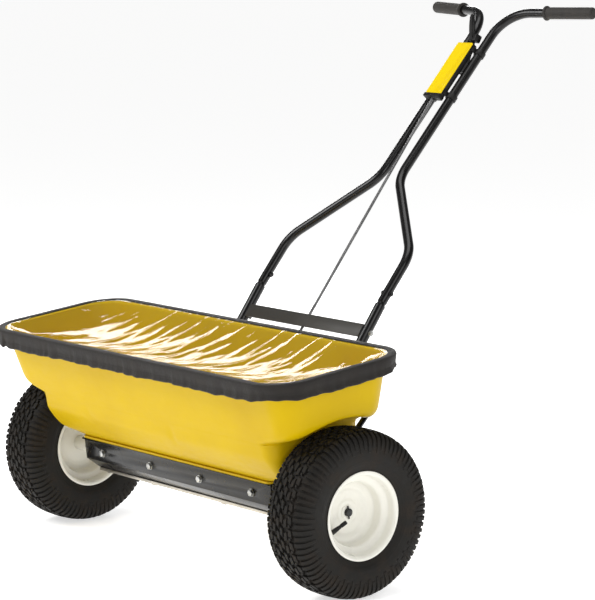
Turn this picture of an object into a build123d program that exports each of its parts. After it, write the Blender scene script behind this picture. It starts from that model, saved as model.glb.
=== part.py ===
from build123d import *
import os
from math import cos, degrees, radians, sin

# Walk-behind drop spreader, standing on its two wheels and its rear stand.
# Millimetres. X runs along the axle, Y to the rear (the handle side), Z up, and the origin is on the ground
# midway between the wheels. The chassis is drawn level, with its own origin on the axle line, and is then
# tipped forward about the axle onto its stand by the one placement named chassis.

os.makedirs("parts", exist_ok=True)

# ---------------------------------------------------------------- driving dimensions
tyre_radius = 165.0
tyre_half_width = 57.0
wheel_centre = 459.0
rim_lip_radius = 87.0
rim_half_width = 50.0
bead_seat_radius = 80.0
well_radius = 61.0
axle_radius = 8.0
park_tip = 7.0

running_gap = 0.05
sheet_steel = 3.0
stainless = 2.0

hopper_centre_y = -8.0
hopper_wall = 5.0
rim_height = 287.0
rim_half_length = 489.0
rim_half_depth = 150.0
rim_lip = 14.0
belly_height = 142.0
belly_half_depth = 114.0
arch_foot_height = 150.0
arch_radius = 184.0
shoulder_half_length = 471.0
chute_half_length = 397.0
throat_height = 51.0
throat_half_length = 318.0
throat_half_depth = 61.0
skirt_drop = 40.0
corner_round = 62.0
shoulder_corner = 38.0
throat_round = 14.0

channel_half_length = 320.0
channel_flange = 9.0
web_bottom = 6.0
floor_height = -19.0
floor_half_depth = 38.0
toe_half_depth = 24.0
bolt_spacing = 171.0
bolt_height = 24.0
bolt_radius = 4.0

port_count = 12
port_pitch = 48.0
port_length = 30.0
port_depth = 16.0
gate_travel = 20.0
gate_thickness = 3.0
gate_half_length = 300.0
tail_half_width = 14.0

crank_sweep = 30.0
crank_rod_arm = 30.0
lever_arm = 26.0
link_thickness = 6.0
link_pin_radius = 3.0
slot_slack = 0.35
rod_radius = 3.0
rod_slope = 45.6

lower_tube_radius = 11.0
upper_tube_radius = 10.0
tube_wall = 1.5
frame_half_width = 200.0
waist_half_width = 30.0
grip_tip = 250.7
grip_radius = 12.85
grip_length = 123.0

console_length = 140.0
console_half_width = 24.0
console_height = 27.0
cover_skin = 2.0

stand_foot_y = 345.0
stand_foot_half_width = 150.0
stand_tube_radius = 11.0
foot_rise = 4.0

# ---------------------------------------------------------------- places that follow from them
chassis = Location((0, 0, tyre_radius), (park_tip, 0, 0))
grounded = Location((0, 0, 0))
wall_slope = (rim_half_depth - belly_half_depth) / (rim_height - belly_height)
web_half_depth = throat_half_depth + 1.0
crank_sweep_rad = radians(crank_sweep)
gate_arm = gate_travel / crank_sweep_rad
rod_travel = crank_rod_arm * crank_sweep_rad
lever_sweep = degrees(rod_travel / lever_arm)
gate_pin_height = floor_height + 7.0
rod_along = Vector(0, cos(radians(rod_slope)), sin(radians(rod_slope)))
rod_across = Vector(0, -sin(radians(rod_slope)), cos(radians(rod_slope)))

# The control rod's line passes this point behind the hopper.
rod_line_point = Vector(0, 109.0, 67.2)

# Handle, level frame: tube joint, elbow, waist, corner and grip end on the right-hand side.
joint_point = Vector(frame_half_width, 340, 309)
elbow_point = Vector(frame_half_width, 428, 395)
waist_point = Vector(waist_half_width, 557, 516)
corner_point = Vector(waist_half_width, 898, 818)
tip_point = Vector(grip_tip, 945, 817)
corner_bend = 75.0
lower_slope = 47.6
lower_along = Vector(0, cos(radians(lower_slope)), sin(radians(lower_slope)))
lower_tube_length = 360.0
joint_gap = 6.0

# The handle plane lies on the two straight parallel tubes: local y runs up along them, z stands out of them.
straight = Vector(0, corner_point.Y - waist_point.Y, corner_point.Z - waist_point.Z)
handle_plane = Plane(origin=(0, waist_point.Y, waist_point.Z), x_dir=(1, 0, 0),
                     z_dir=(0, -straight.Z, straight.Y))
console_start = 210.0
rod_pin_along = 303.0
rod_pin_height = 15.0
rod_bend_height = 20.7


def half_depth(height):
    """Half the hopper's outer depth at a height above its belly; its front and rear walls slope evenly."""
    return belly_half_depth + (height - belly_height) * wall_slope


def add_tube(points, bends, radius, wall):
    """Add a bent round tube, or a solid bar where wall is None, along points to the part."""
    with BuildLine() as path:
        if bends:
            FilletPolyline(*points, radius=bends)
        else:
            Line(*points)
    with BuildSketch(path.line ^ 0) as ring:
        Circle(radius)
        if wall:
            Circle(radius - wall, mode=Mode.SUBTRACT)
    sweep(ring.sketch, path=path.line)


def add_pin(start, end, radius):
    """Add a round pin between two points to the part."""
    add_tube((start, end), None, radius, None)


def add_bolt(plane, radius, grip):
    """Add a hexagon bolt with its head on the plane's face and its nut at the far side of the grip."""
    with BuildSketch(plane) as head:
        RegularPolygon(1.75 * radius, 6)
    extrude(head.sketch, amount=1.3 * radius)
    with BuildSketch(plane) as shank:
        Circle(radius)
    extrude(shank.sketch, amount=-(grip + 2.2 * radius))
    with BuildSketch(plane.offset(-grip)) as nut:
        RegularPolygon(1.75 * radius, 6)
    extrude(nut.sketch, amount=-1.6 * radius)


def export(piece, label, place):
    """Name a finished piece, put it in its place and write its file."""
    piece.part.label = label
    export_step(piece.part.moved(place), f"parts/{label}.step")


# ---------------------------------------------------------------- hopper
# The ends run in from the shoulder to the arch foot: how far above the foot, and how far in from the shoulder.
shoulder_levels = ((0, -73), (5, -59), (10, -39), (15, -23), (22, -11), (32, -4), (48, 0))
# The chute closes in under its belly: height above the throat, outward from the throat's half length and depth.
chute_levels = ((0, 0, 0), (7, 12, 5), (13, 34, 11), (18, 56, 17), (25, 69, 23), (34, 75, 29), (49, 78, 39),
                (67, 79, 49), (91, 79, 53))


def add_hopper_form(inset, over):
    """Add the hopper's filled form, shrunk by inset on every wall and raised past the rim by over."""
    levels = [(arch_foot_height + inset + rise, shoulder_half_length + reach) for rise, reach in shoulder_levels]
    levels.append((rim_height + over, rim_half_length))
    sections = []
    for height, half_length in levels:
        share = (height - arch_foot_height) / (rim_height - arch_foot_height)
        with BuildSketch(Plane((0, hopper_centre_y, height))) as section:
            RectangleRounded(2 * (half_length - inset), 2 * (half_depth(height) - inset),
                             shoulder_corner + (corner_round - shoulder_corner) * share - inset)
        sections.append(section.sketch.face())
    loft(sections, ruled=True)
    sections = []
    for rise, reach, swell in (*chute_levels, (arch_foot_height + 2 + inset - throat_height, 79, 55)):
        with BuildSketch(Plane((0, hopper_centre_y, throat_height + rise))) as section:
            RectangleRounded(2 * (throat_half_length + reach - inset), 2 * (throat_half_depth + swell - inset),
                             throat_round + 0.2 * rise - 0.5 * inset)
        sections.append(section.sketch.face())
    loft(sections, ruled=True)
    for side in (-1, 1):
        with BuildSketch(Plane.YZ.offset(side * (chute_half_length - inset))) as arch:
            Circle(arch_radius + inset)
        extrude(arch.sketch, amount=side * 200, mode=Mode.SUBTRACT)


with BuildPart() as hopper_hollow:
    add_hopper_form(hopper_wall, 1)
with BuildPart() as hopper:
    add_hopper_form(0, 0)
    with BuildSketch(Plane((0, hopper_centre_y, throat_height))):
        RectangleRounded(2 * throat_half_length, 2 * (throat_half_depth - 2), throat_round)
    extrude(amount=-skirt_drop)
    with BuildSketch(Plane((0, hopper_centre_y, throat_height))):
        RectangleRounded(2 * (throat_half_length + 3), 2 * (web_half_depth + channel_flange - 2), throat_round)
    extrude(amount=4)
    with BuildSketch(Plane((0, hopper_centre_y, rim_height))):
        RectangleRounded(2 * (rim_half_length + rim_lip), 2 * (rim_half_depth + rim_lip), corner_round + rim_lip)
    extrude(amount=-4)
    with BuildSketch(Plane((0, hopper_centre_y, rim_height))):
        RectangleRounded(2 * (rim_half_length + rim_lip), 2 * (rim_half_depth + rim_lip), corner_round + rim_lip)
        RectangleRounded(2 * (rim_half_length + rim_lip - 4), 2 * (rim_half_depth + rim_lip - 4),
                         corner_round + rim_lip - 4, mode=Mode.SUBTRACT)
    extrude(amount=-12)
    add(hopper_hollow.part, mode=Mode.SUBTRACT)
    with BuildSketch(Plane((0, hopper_centre_y, throat_height + 6))):
        RectangleRounded(2 * (throat_half_length - hopper_wall), 2 * (throat_half_depth - 2 - hopper_wall),
                         throat_round - 4)
    extrude(amount=-(skirt_drop + 7), mode=Mode.SUBTRACT)
    for side in (-1, 1):
        for x in (-1.5, -0.5, 0.5, 1.5):
            with BuildSketch(Plane((x * bolt_spacing, hopper_centre_y, bolt_height), x_dir=(1, 0, 0),
                                   z_dir=(0, side, 0))):
                Circle(bolt_radius + 0.3)
            extrude(amount=web_half_depth + 10, mode=Mode.SUBTRACT)
export(hopper, "hopper", chassis)


# ---------------------------------------------------------------- cover
cover_lip_length = rim_half_length + rim_lip
cover_lip_depth = rim_half_depth + rim_lip
cover_lip_round = corner_round + rim_lip
band_gap = 1.0
band_thickness = 4.0
band_height = 34.0
sheet_thickness = 2.4
sheet_sag = 32.0


def add_dish(height):
    """Add the filled shape of the sagging sheet's top side, its edge at this height."""
    sections = []
    for drop, shrink in ((0, 24), (0.55 * sheet_sag, 56), (sheet_sag, 96)):
        with BuildSketch(Plane((0, hopper_centre_y, height - drop))) as section:
            RectangleRounded(2 * (cover_lip_length - shrink), 2 * (cover_lip_depth - shrink),
                             cover_lip_round - 0.5 * shrink)
        sections.append(section.sketch.face())
    loft(sections, ruled=True)


with BuildPart() as dish_top:
    add_dish(rim_height + 0.3 + sheet_thickness)
with BuildPart() as cover_sheet:
    add_dish(rim_height + 0.3)
    with BuildSketch(Plane((0, hopper_centre_y, rim_height + 0.3))):
        RectangleRounded(2 * cover_lip_length, 2 * cover_lip_depth, cover_lip_round)
    extrude(amount=sheet_thickness)
    add(dish_top.part, mode=Mode.SUBTRACT)
export(cover_sheet, "cover_sheet", chassis)

with BuildPart() as cover_band:
    with BuildSketch(Plane((0, hopper_centre_y, rim_height + 0.3 + sheet_thickness))):
        RectangleRounded(2 * (cover_lip_length + band_gap + band_thickness),
                         2 * (cover_lip_depth + band_gap + band_thickness),
                         cover_lip_round + band_gap + band_thickness)
        RectangleRounded(2 * (cover_lip_length + band_gap), 2 * (cover_lip_depth + band_gap),
                         cover_lip_round + band_gap, mode=Mode.SUBTRACT)
    extrude(amount=-band_height)
export(cover_band, "cover_band", chassis)


# ---------------------------------------------------------------- trough
def build_channel(side):
    """Return the front (-1) or rear (1) channel: top flange, upright web, sloped bottom and toe."""
    def at(distance, height):
        return (hopper_centre_y + side * distance, height)

    corners = [at(web_half_depth + channel_flange, throat_height), at(web_half_depth, throat_height),
               at(web_half_depth, web_bottom), at(toe_half_depth + 10, floor_height),
               at(toe_half_depth, floor_height)]
    outside = [at(web_half_depth + channel_flange, throat_height - sheet_steel),
               at(web_half_depth + sheet_steel, throat_height - sheet_steel),
               at(web_half_depth + sheet_steel, web_bottom - 1.2), at(toe_half_depth + 11.5, floor_height - 3),
               at(toe_half_depth, floor_height - 3)]
    with BuildPart() as channel:
        with BuildSketch(Plane.YZ):
            with BuildLine():
                Polyline(*corners, *reversed(outside), close=True)
            make_face()
        extrude(amount=channel_half_length, both=True)
        for x in (-1.5, -0.5, 0.5, 1.5):
            with BuildSketch(Plane((x * bolt_spacing, hopper_centre_y, bolt_height), x_dir=(1, 0, 0),
                                   z_dir=(0, side, 0))) as hole:
                Circle(bolt_radius + 0.3)
            extrude(hole.sketch, amount=web_half_depth + 10, mode=Mode.SUBTRACT)
    return channel


front_channel = build_channel(-1)
export(front_channel, "front_channel", chassis)
rear_channel = build_channel(1)
export(rear_channel, "rear_channel", chassis)

bearing_outer = 13.0
end_plate_thickness = 4.0
for side, name in ((-1, "left"), (1, "right")):
    face = Plane((side * throat_half_length, 0, 0), x_dir=(0, side, 0), z_dir=(side, 0, 0))
    with BuildPart() as end_plate:
        with BuildSketch(face):
            with BuildLine():
                low = toe_half_depth - 1
                wide = web_half_depth - 0.3
                Polyline((side * hopper_centre_y - wide, throat_height - 0.3),
                         (side * hopper_centre_y + wide, throat_height - 0.3),
                         (side * hopper_centre_y + wide, web_bottom + 1),
                         (side * hopper_centre_y + low, floor_height + 0.3),
                         (side * hopper_centre_y - low, floor_height + 0.3),
                         (side * hopper_centre_y - wide, web_bottom + 1), close=True)
            make_face()
            Circle(bearing_outer, mode=Mode.SUBTRACT)
        extrude(amount=end_plate_thickness)
    export(end_plate, f"end_plate_{name}", chassis)
    with BuildPart() as bearing:
        with BuildSketch(face):
            Circle(bearing_outer)
        extrude(amount=end_plate_thickness + 3)
        with BuildSketch(face.offset(end_plate_thickness)):
            Circle(bearing_outer + 6)
        extrude(amount=3)
        with BuildSketch(face):
            Circle(axle_radius + running_gap)
        extrude(amount=end_plate_thickness + 3, mode=Mode.SUBTRACT)
    export(bearing, f"axle_bearing_{name}", chassis)

floor_top = floor_height - 3
lip_drop = 6.0
with BuildPart() as floor_plate:
    with BuildSketch(Plane((0, hopper_centre_y, floor_top))):
        Rectangle(2 * channel_half_length - 6, 2 * floor_half_depth)
        with GridLocations(port_pitch, 0, port_count, 1):
            Rectangle(port_length, port_depth, mode=Mode.SUBTRACT)
    extrude(amount=-stainless)
    for side in (-1, 1):
        with BuildSketch(Plane((0, hopper_centre_y + side * (floor_half_depth - stainless / 2),
                                floor_top - stainless - running_gap))):
            Rectangle(2 * channel_half_length - 6, stainless)
        extrude(amount=-(lip_drop - stainless - running_gap))
    with BuildSketch(Plane((0, hopper_centre_y + floor_half_depth, floor_top - stainless))):
        Rectangle(2 * tail_half_width + 4, 12)
    extrude(amount=-lip_drop, mode=Mode.SUBTRACT)
export(floor_plate, "floor_plate", chassis)

guide_width = 16.0
with BuildPart() as gate_guides:
    with BuildSketch(Plane((0, hopper_centre_y, floor_top - lip_drop))):
        for x in (-gate_half_length + 20, -0.4 * gate_half_length, 0.4 * gate_half_length, gate_half_length - 20):
            with Locations((x, 0)):
                Rectangle(guide_width, 2 * floor_half_depth)
    extrude(amount=-stainless)
export(gate_guides, "gate_guides", chassis)

for side, name in ((-1, "front"), (1, "rear")):
    with BuildPart() as channel_bolts:
        for x in (-1.5, -0.5, 0.5, 1.5):
            plane = Plane((x * bolt_spacing, hopper_centre_y + side * (web_half_depth + sheet_steel), bolt_height),
                          x_dir=(1, 0, 0), z_dir=(0, side, 0))
            add_bolt(plane, bolt_radius, sheet_steel + hopper_wall + 3)
    export(channel_bolts, f"channel_bolts_{name}", chassis)

# ---------------------------------------------------------------- axle, agitator and wheels
axle_half_length = wheel_centre + 8
with BuildPart() as axle:
    add_pin((-axle_half_length, 0, 0), (axle_half_length, 0, 0), axle_radius)
    chamfer(axle.edges().filter_by(GeomType.CIRCLE), 1)
    for x in (-wheel_centre - 4.5, wheel_centre + 4.5, wheel_centre - 20):
        with BuildSketch(Plane((x, 0, 0))) as cross:
            Circle(1.8)
        extrude(cross.sketch, amount=axle_radius + 1, both=True, mode=Mode.SUBTRACT)
export(axle, "axle", chassis)

finger_reach = 15.0
with BuildPart() as agitator:
    for index in range(port_count + 1):
        x = (index - port_count / 2) * port_pitch
        with BuildSketch(Plane((x, 0, 0), x_dir=(0, 1, 0), z_dir=(1, 0, 0))) as ring:
            Circle(axle_radius + 2.5)
            with PolarLocations(0, 3, start_angle=20 * index):
                Rectangle(2 * finger_reach, 4)
            Circle(axle_radius, mode=Mode.SUBTRACT)
        extrude(ring.sketch, amount=2.5, both=True)
export(agitator, "agitator", chassis)

hub_radius = 15.0
bush_radius = 11.0
hub_inner_end = -42.0
disc_thickness = 3.0
for side, name in ((-1, "left"), (1, "right")):
    origin = Vector(side * wheel_centre, 0, 0)
    section_plane = Plane(origin=origin, x_dir=(side, 0, 0), z_dir=(0, 0, side))
    wheel_axis = Axis(origin, (1, 0, 0))
    with BuildPart() as tyre:
        with BuildSketch(section_plane):
            with BuildLine():
                seat = rim_half_width - 3.2
                Polyline((-seat, 92), (-seat, bead_seat_radius), (-seat + 11, bead_seat_radius), (-seat + 11, 90))
                Spline((-seat + 11, 90), (-49, 112), (-48, 134), (-40, 149), (-20, 154.5), (0, 156),
                       (20, 154.5), (40, 149), (48, 134), (49, 112), (seat - 11, 90))
                Polyline((seat - 11, 90), (seat - 11, bead_seat_radius), (seat, bead_seat_radius), (seat, 92))
                Spline((seat, 92), (54.5, 104), (tyre_half_width, 124), (54, 144), (46.5, 157.5))
                ThreePointArc((46.5, 157.5), (0, tyre_radius), (-46.5, 157.5))
                Spline((-46.5, 157.5), (-54, 144), (-tyre_half_width, 124), (-54.5, 104), (-seat, 92))
            make_face()
        revolve(axis=wheel_axis)
    export(tyre, f"tyre_{name}", chassis)
    with BuildPart() as rim:
        with BuildSketch(section_plane):
            with BuildLine():
                lip = rim_half_width
                Polyline((lip, rim_lip_radius), (lip, bead_seat_radius - 3), (30, bead_seat_radius - 5),
                         (24, well_radius), (4, well_radius - 2), (3, 46), (-1, 40), (-1, hub_radius),
                         (-4, hub_radius), (-4, 42), (0, 49), (0, well_radius), (-24, well_radius),
                         (-30, bead_seat_radius - 5), (-lip, bead_seat_radius - 3), (-lip, rim_lip_radius),
                         (-lip + 3, rim_lip_radius), (-lip + 3, bead_seat_radius), (-28, bead_seat_radius - 2),
                         (-22, well_radius + 3), (22, well_radius + 3), (28, bead_seat_radius - 2),
                         (lip - 3, bead_seat_radius), (lip - 3, rim_lip_radius), close=True)
            make_face()
        revolve(axis=wheel_axis)
    export(rim, f"rim_{name}", chassis)
    with BuildPart() as hub:
        with BuildSketch(section_plane):
            bore = bush_radius if side < 0 else axle_radius
            with BuildLine():
                Polyline((hub_inner_end, bore), (0, bore), (0, hub_radius), (hub_inner_end, hub_radius), close=True)
            make_face()
        revolve(axis=wheel_axis)
        if side > 0:
            with BuildSketch(Plane((wheel_centre - 20, 0, 0))):
                Circle(1.8)
            extrude(amount=hub_radius, both=True, mode=Mode.SUBTRACT)
    export(hub, f"hub_{name}", chassis)
    stem_foot = Vector(origin.X + side * 12, -54, -24)
    stem_tip = Vector(origin.X + side * 22, -20, -14)
    with BuildPart() as stem:
        add_pin(stem_foot, stem_foot + (stem_tip - stem_foot) * 0.55, 5)
        add_pin(stem_foot, stem_tip, 3.6)
    export(stem, f"valve_stem_{name}", chassis)

with BuildPart() as axle_washers:
    for side in (-1, 1):
        with BuildSketch(Plane((side * (wheel_centre + 0.2), 0, 0), x_dir=(0, 1, 0), z_dir=(side, 0, 0))):
            Circle(hub_radius)
            Circle(axle_radius + running_gap, mode=Mode.SUBTRACT)
        extrude(amount=2)
export(axle_washers, "axle_washers", chassis)
with BuildPart() as wheel_bushes:
    for start in (hub_inner_end, -14):
        with BuildSketch(Plane((-wheel_centre - start, 0, 0), x_dir=(0, 1, 0), z_dir=(-1, 0, 0))) as ring:
            Circle(bush_radius)
            Circle(axle_radius + running_gap, mode=Mode.SUBTRACT)
        extrude(ring.sketch, amount=14)
export(wheel_bushes, "wheel_bushes", chassis)
with BuildPart() as axle_pins:
    for x in (-wheel_centre - 4.5, wheel_centre + 4.5):
        add_pin((x, 0, -axle_radius - 5), (x, 0, axle_radius + 5), 1.7)
    add_pin((wheel_centre - 20, 0, -hub_radius + 0.4), (wheel_centre - 20, 0, hub_radius - 0.4), 1.8)
export(axle_pins, "axle_pins", chassis)

# ---------------------------------------------------------------- handle
lower_across = Vector(0, -lower_along.Z, lower_along.Y)


def mirrored(point, side):
    """Return the point on the right (1) or, mirrored, on the left (-1)."""
    return Vector(side * point.X, point.Y, point.Z)


def on_lower_tube(down, across=0.0, x=frame_half_width):
    """Return a point down the lower tube's line from the joint, and across it towards its upper side."""
    return joint_point - lower_along * down + lower_across * across + Vector(x - frame_half_width, 0, 0)


def side_plane(point, side=1):
    """Return an upright plane through the point whose local axes are Y and Z and whose normal is X."""
    return Plane(origin=point, x_dir=(0, side, 0), z_dir=(side, 0, 0))


joint_bolt_rise = 23.0
cross_plate_down = 67.0
cross_plate_across = 5.0
cross_bolt_across = -2.6
bolt_hole_radius = 3.3
lower_bolt_downs = (joint_gap / 2 + lower_tube_length - 25, joint_gap / 2 + lower_tube_length - 62)
cross_bolt_at = on_lower_tube(cross_plate_down, cross_bolt_across)
for side, name in ((-1, "left"), (1, "right")):
    top = mirrored(on_lower_tube(joint_gap / 2), side)
    bottom = mirrored(on_lower_tube(joint_gap / 2 + lower_tube_length), side)
    with BuildPart() as lower_tube:
        add_tube((bottom, top), None, lower_tube_radius, tube_wall)
        for at in (*(on_lower_tube(down) for down in lower_bolt_downs), cross_bolt_at):
            with BuildSketch(side_plane((0, at.Y, at.Z))) as cross:
                Circle(bolt_hole_radius)
            extrude(cross.sketch, amount=side * 250, mode=Mode.SUBTRACT)
    export(lower_tube, f"handle_tube_lower_{name}", chassis)
    start = mirrored(on_lower_tube(-joint_gap / 2), side)
    first_run = mirrored(elbow_point, side) - start
    with BuildPart() as upper_tube:
        add_tube((start, mirrored(elbow_point, side), mirrored(waist_point, side), mirrored(corner_point, side),
                  mirrored(tip_point, side)), corner_bend, upper_tube_radius, tube_wall)
        bolt_at = start + first_run.normalized() * joint_bolt_rise
        with BuildSketch(side_plane((0, bolt_at.Y, bolt_at.Z))) as cross:
            Circle(bolt_hole_radius)
        extrude(cross.sketch, amount=side * 250, mode=Mode.SUBTRACT)
    export(upper_tube, f"handle_tube_upper_{name}", chassis)
    grip_along = (mirrored(tip_point, side) - mirrored(corner_point, side)).normalized()
    grip_end = mirrored(tip_point, side) + grip_along * 1.5
    grip_plane = Plane(origin=grip_end, x_dir=(0, 0, 1), z_dir=-grip_along)
    with BuildPart() as grip:
        with BuildSketch(grip_plane):
            Circle(grip_radius)
        extrude(amount=grip_length)
        fillet(grip.faces().sort_by(Axis.X)[0 if side < 0 else -1].edges(), 5)
        with BuildSketch(grip_plane.offset(grip_length - 5)):
            Circle(grip_radius + 3)
        extrude(amount=5)
        fillet(grip.edges().filter_by(GeomType.CIRCLE).group_by(SortBy.RADIUS)[-1], 1.5)
        with BuildSketch(grip_plane.offset(1.5)):
            Circle(upper_tube_radius + running_gap)
        extrude(amount=grip_length, mode=Mode.SUBTRACT)
    export(grip, f"grip_{name}", chassis)

with BuildPart() as spigots:
    for side in (-1, 1):
        start = mirrored(on_lower_tube(-joint_gap / 2), side)
        add_pin(mirrored(on_lower_tube(34), side), mirrored(on_lower_tube(0), side),
                lower_tube_radius - tube_wall - running_gap)
        add_pin(mirrored(on_lower_tube(2), side), start, upper_tube_radius - tube_wall - 2 * running_gap)
        add_pin(start, start + first_run.normalized() * 40, upper_tube_radius - tube_wall - running_gap)
    with BuildSketch(side_plane((0, bolt_at.Y, bolt_at.Z))):
        Circle(bolt_hole_radius)
    extrude(amount=250, both=True, mode=Mode.SUBTRACT)
export(spigots, "handle_spigots", chassis)
with BuildPart() as joint_bolts:
    for side in (-1, 1):
        start = mirrored(on_lower_tube(-joint_gap / 2), side)
        bolt_at = start + (mirrored(elbow_point, side) - start).normalized() * joint_bolt_rise
        head_face = side_plane((side * frame_half_width - upper_tube_radius - 0.3, bolt_at.Y, bolt_at.Z), -1)
        add_bolt(head_face, 3.0, 2 * upper_tube_radius + 0.6)
export(joint_bolts, "handle_joint_bolts", chassis)

# ---------------------------------------------------------------- cross plate and rod guide
cross_plate_width = 29.0
cross_plate_thickness = 4.0
flange_x = frame_half_width - lower_tube_radius
cross_centre = on_lower_tube(cross_plate_down, cross_plate_across, 0)
cross_plane = Plane(origin=cross_centre, x_dir=(1, 0, 0), z_dir=tuple(lower_across))
with BuildPart() as cross_plate:
    with BuildSketch(cross_plane):
        Rectangle(2 * flange_x - 0.2, cross_plate_width)
    extrude(amount=cross_plate_thickness / 2, both=True)
    for side in (-1, 1):
        with BuildSketch(cross_plane.offset(-15)):
            with Locations((side * (flange_x - 1.6), 0)):
                Rectangle(3, cross_plate_width)
        extrude(amount=15)
    with BuildSketch(side_plane((0, cross_bolt_at.Y, cross_bolt_at.Z))):
        Circle(bolt_hole_radius)
    extrude(amount=250, both=True, mode=Mode.SUBTRACT)
export(cross_plate, "cross_plate", chassis)
with BuildPart() as cross_plate_bolts:
    for side in (-1, 1):
        plane = Plane((side * (flange_x - 3.2), cross_bolt_at.Y, cross_bolt_at.Z), x_dir=(0, side, 0),
                      z_dir=(-side, 0, 0))
        add_bolt(plane, 3.0, 2 * lower_tube_radius + 3.4)
export(cross_plate_bolts, "cross_plate_bolts", chassis)

rod_at_plate = rod_line_point + rod_along * ((cross_centre - rod_line_point).dot(rod_along))
guide_plane = Plane(origin=cross_centre - lower_across * cross_plate_thickness / 2, x_dir=(1, 0, 0),
                    z_dir=tuple(-lower_across))
with BuildPart() as rod_guide:
    with BuildSketch(guide_plane):
        Rectangle(16, 14)
    extrude(amount=11)
    with BuildSketch(Plane(origin=rod_at_plate, x_dir=(1, 0, 0), z_dir=tuple(rod_along))):
        Circle(rod_radius + 1)
    extrude(amount=20, both=True, mode=Mode.SUBTRACT)
export(rod_guide, "rod_guide", chassis)

# ---------------------------------------------------------------- handle brackets, stand and braces
web_outer = hopper_centre_y + web_half_depth + sheet_steel
bracket_thickness = 4.0
stand_top = Vector(frame_half_width - lower_tube_radius - bracket_thickness - stand_tube_radius - 2.2, 118, 36)
for side, name in ((-1, "left"), (1, "right")):
    tube_end = on_lower_tube(lower_tube_length + joint_gap / 2)
    with BuildPart() as bracket:
        with BuildSketch(Plane.YZ.offset(side * (frame_half_width - lower_tube_radius - 0.3))):
            with BuildLine():
                Polyline((web_outer, 44), (web_outer, -4), (web_outer + 24, -4), (136, 24), (142, 62),
                         tuple(on_lower_tube(lower_bolt_downs[1] - 14, -10))[1:],
                         tuple(on_lower_tube(lower_bolt_downs[1] - 14, 10))[1:],
                         tuple(on_lower_tube(lower_bolt_downs[0] + 10, 12))[1:], close=True)
            make_face()
        extrude(amount=-side * bracket_thickness)
        with BuildSketch(Plane((side * (flange_x - 16), web_outer, 20), x_dir=(1, 0, 0), z_dir=(0, -1, 0))):
            Rectangle(30, 46)
        extrude(amount=-bracket_thickness)
        for at in (*(on_lower_tube(down) for down in lower_bolt_downs), stand_top):
            with BuildSketch(side_plane((0, at.Y, at.Z))) as cross:
                Circle(bolt_hole_radius)
            extrude(cross.sketch, amount=side * 250, mode=Mode.SUBTRACT)
    export(bracket, f"handle_bracket_{name}", chassis)

with BuildPart() as bracket_bolts:
    for side in (-1, 1):
        for at in (on_lower_tube(down) for down in lower_bolt_downs):
            x = side * (frame_half_width + lower_tube_radius + 0.2)
            plane = Plane((x, at.Y, at.Z), x_dir=(0, side, 0), z_dir=(side, 0, 0))
            add_bolt(plane, 3.0, 2 * lower_tube_radius + bracket_thickness + 0.6)
export(bracket_bolts, "handle_bracket_bolts", chassis)
with BuildPart() as stand_bolts:
    for side in (-1, 1):
        x = side * (frame_half_width - lower_tube_radius)
        plane = Plane((x, stand_top.Y, stand_top.Z), x_dir=(0, side, 0), z_dir=(side, 0, 0))
        add_bolt(plane, 3.0, 2 * stand_tube_radius + bracket_thickness + 3.2)
export(stand_bolts, "stand_bolts", chassis)

# The stand and its feet are drawn as they stand on the ground.
tip = radians(park_tip)
stand_top_parked = Vector(stand_top.X, stand_top.Y * cos(tip) - stand_top.Z * sin(tip),
                          stand_top.Y * sin(tip) + stand_top.Z * cos(tip) + tyre_radius)
foot_corner = Vector(stand_foot_half_width, stand_foot_y, stand_tube_radius + foot_rise)
leg_along = (stand_top_parked - foot_corner).normalized()
leg_end = stand_top_parked + leg_along * 12
with BuildPart() as stand:
    add_tube((leg_end, foot_corner, mirrored(foot_corner, -1), mirrored(leg_end, -1)), 45.0,
             stand_tube_radius, tube_wall)
    with BuildSketch(Plane.YZ.offset(-250)):
        with Locations((stand_top_parked.Y, stand_top_parked.Z)):
            Circle(bolt_hole_radius)
    extrude(amount=500, mode=Mode.SUBTRACT)
export(stand, "stand", grounded)
with BuildPart() as stand_feet:
    with BuildSketch(Plane((0, stand_foot_y, 0))):
        with Locations((-0.5 * stand_foot_half_width, 0), (0.5 * stand_foot_half_width, 0)):
            RectangleRounded(44, 34, 6)
    extrude(amount=2 * stand_tube_radius + foot_rise + 4)
    with BuildSketch(Plane.YZ.offset(-stand_foot_half_width)):
        with Locations((stand_foot_y, foot_corner.Z)):
            Circle(stand_tube_radius)
    extrude(amount=2 * stand_foot_half_width, mode=Mode.SUBTRACT)
export(stand_feet, "stand_feet", grounded)

brace_radius = 6.0
brace_foot = Vector(channel_half_length - 14, web_outer + brace_radius + 2, 20)
brace_head = Vector(chute_half_length - 2, brace_foot.Y + 70, arch_foot_height + 17)
with BuildPart() as braces:
    for side in (-1, 1):
        add_pin(mirrored(brace_foot, side), mirrored(brace_head, side), brace_radius)
        low, high = brace_head.Z - 7, brace_head.Z + 7
        with BuildSketch(Plane.YZ.offset(side * brace_head.X - 12)) as pad:
            with BuildLine():
                Polyline((hopper_centre_y + half_depth(low) + 0.2, low), (brace_head.Y, low),
                         (brace_head.Y, high), (hopper_centre_y + half_depth(high) + 0.2, high), close=True)
            make_face()
        extrude(pad.sketch, amount=24)
        with BuildSketch(Plane((side * brace_foot.X, web_outer, brace_foot.Z), x_dir=(1, 0, 0),
                               z_dir=(0, -1, 0))) as pad:
            Rectangle(22, 28)
        extrude(pad.sketch, amount=-brace_radius - 2)
export(braces, "hopper_braces", chassis)

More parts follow.
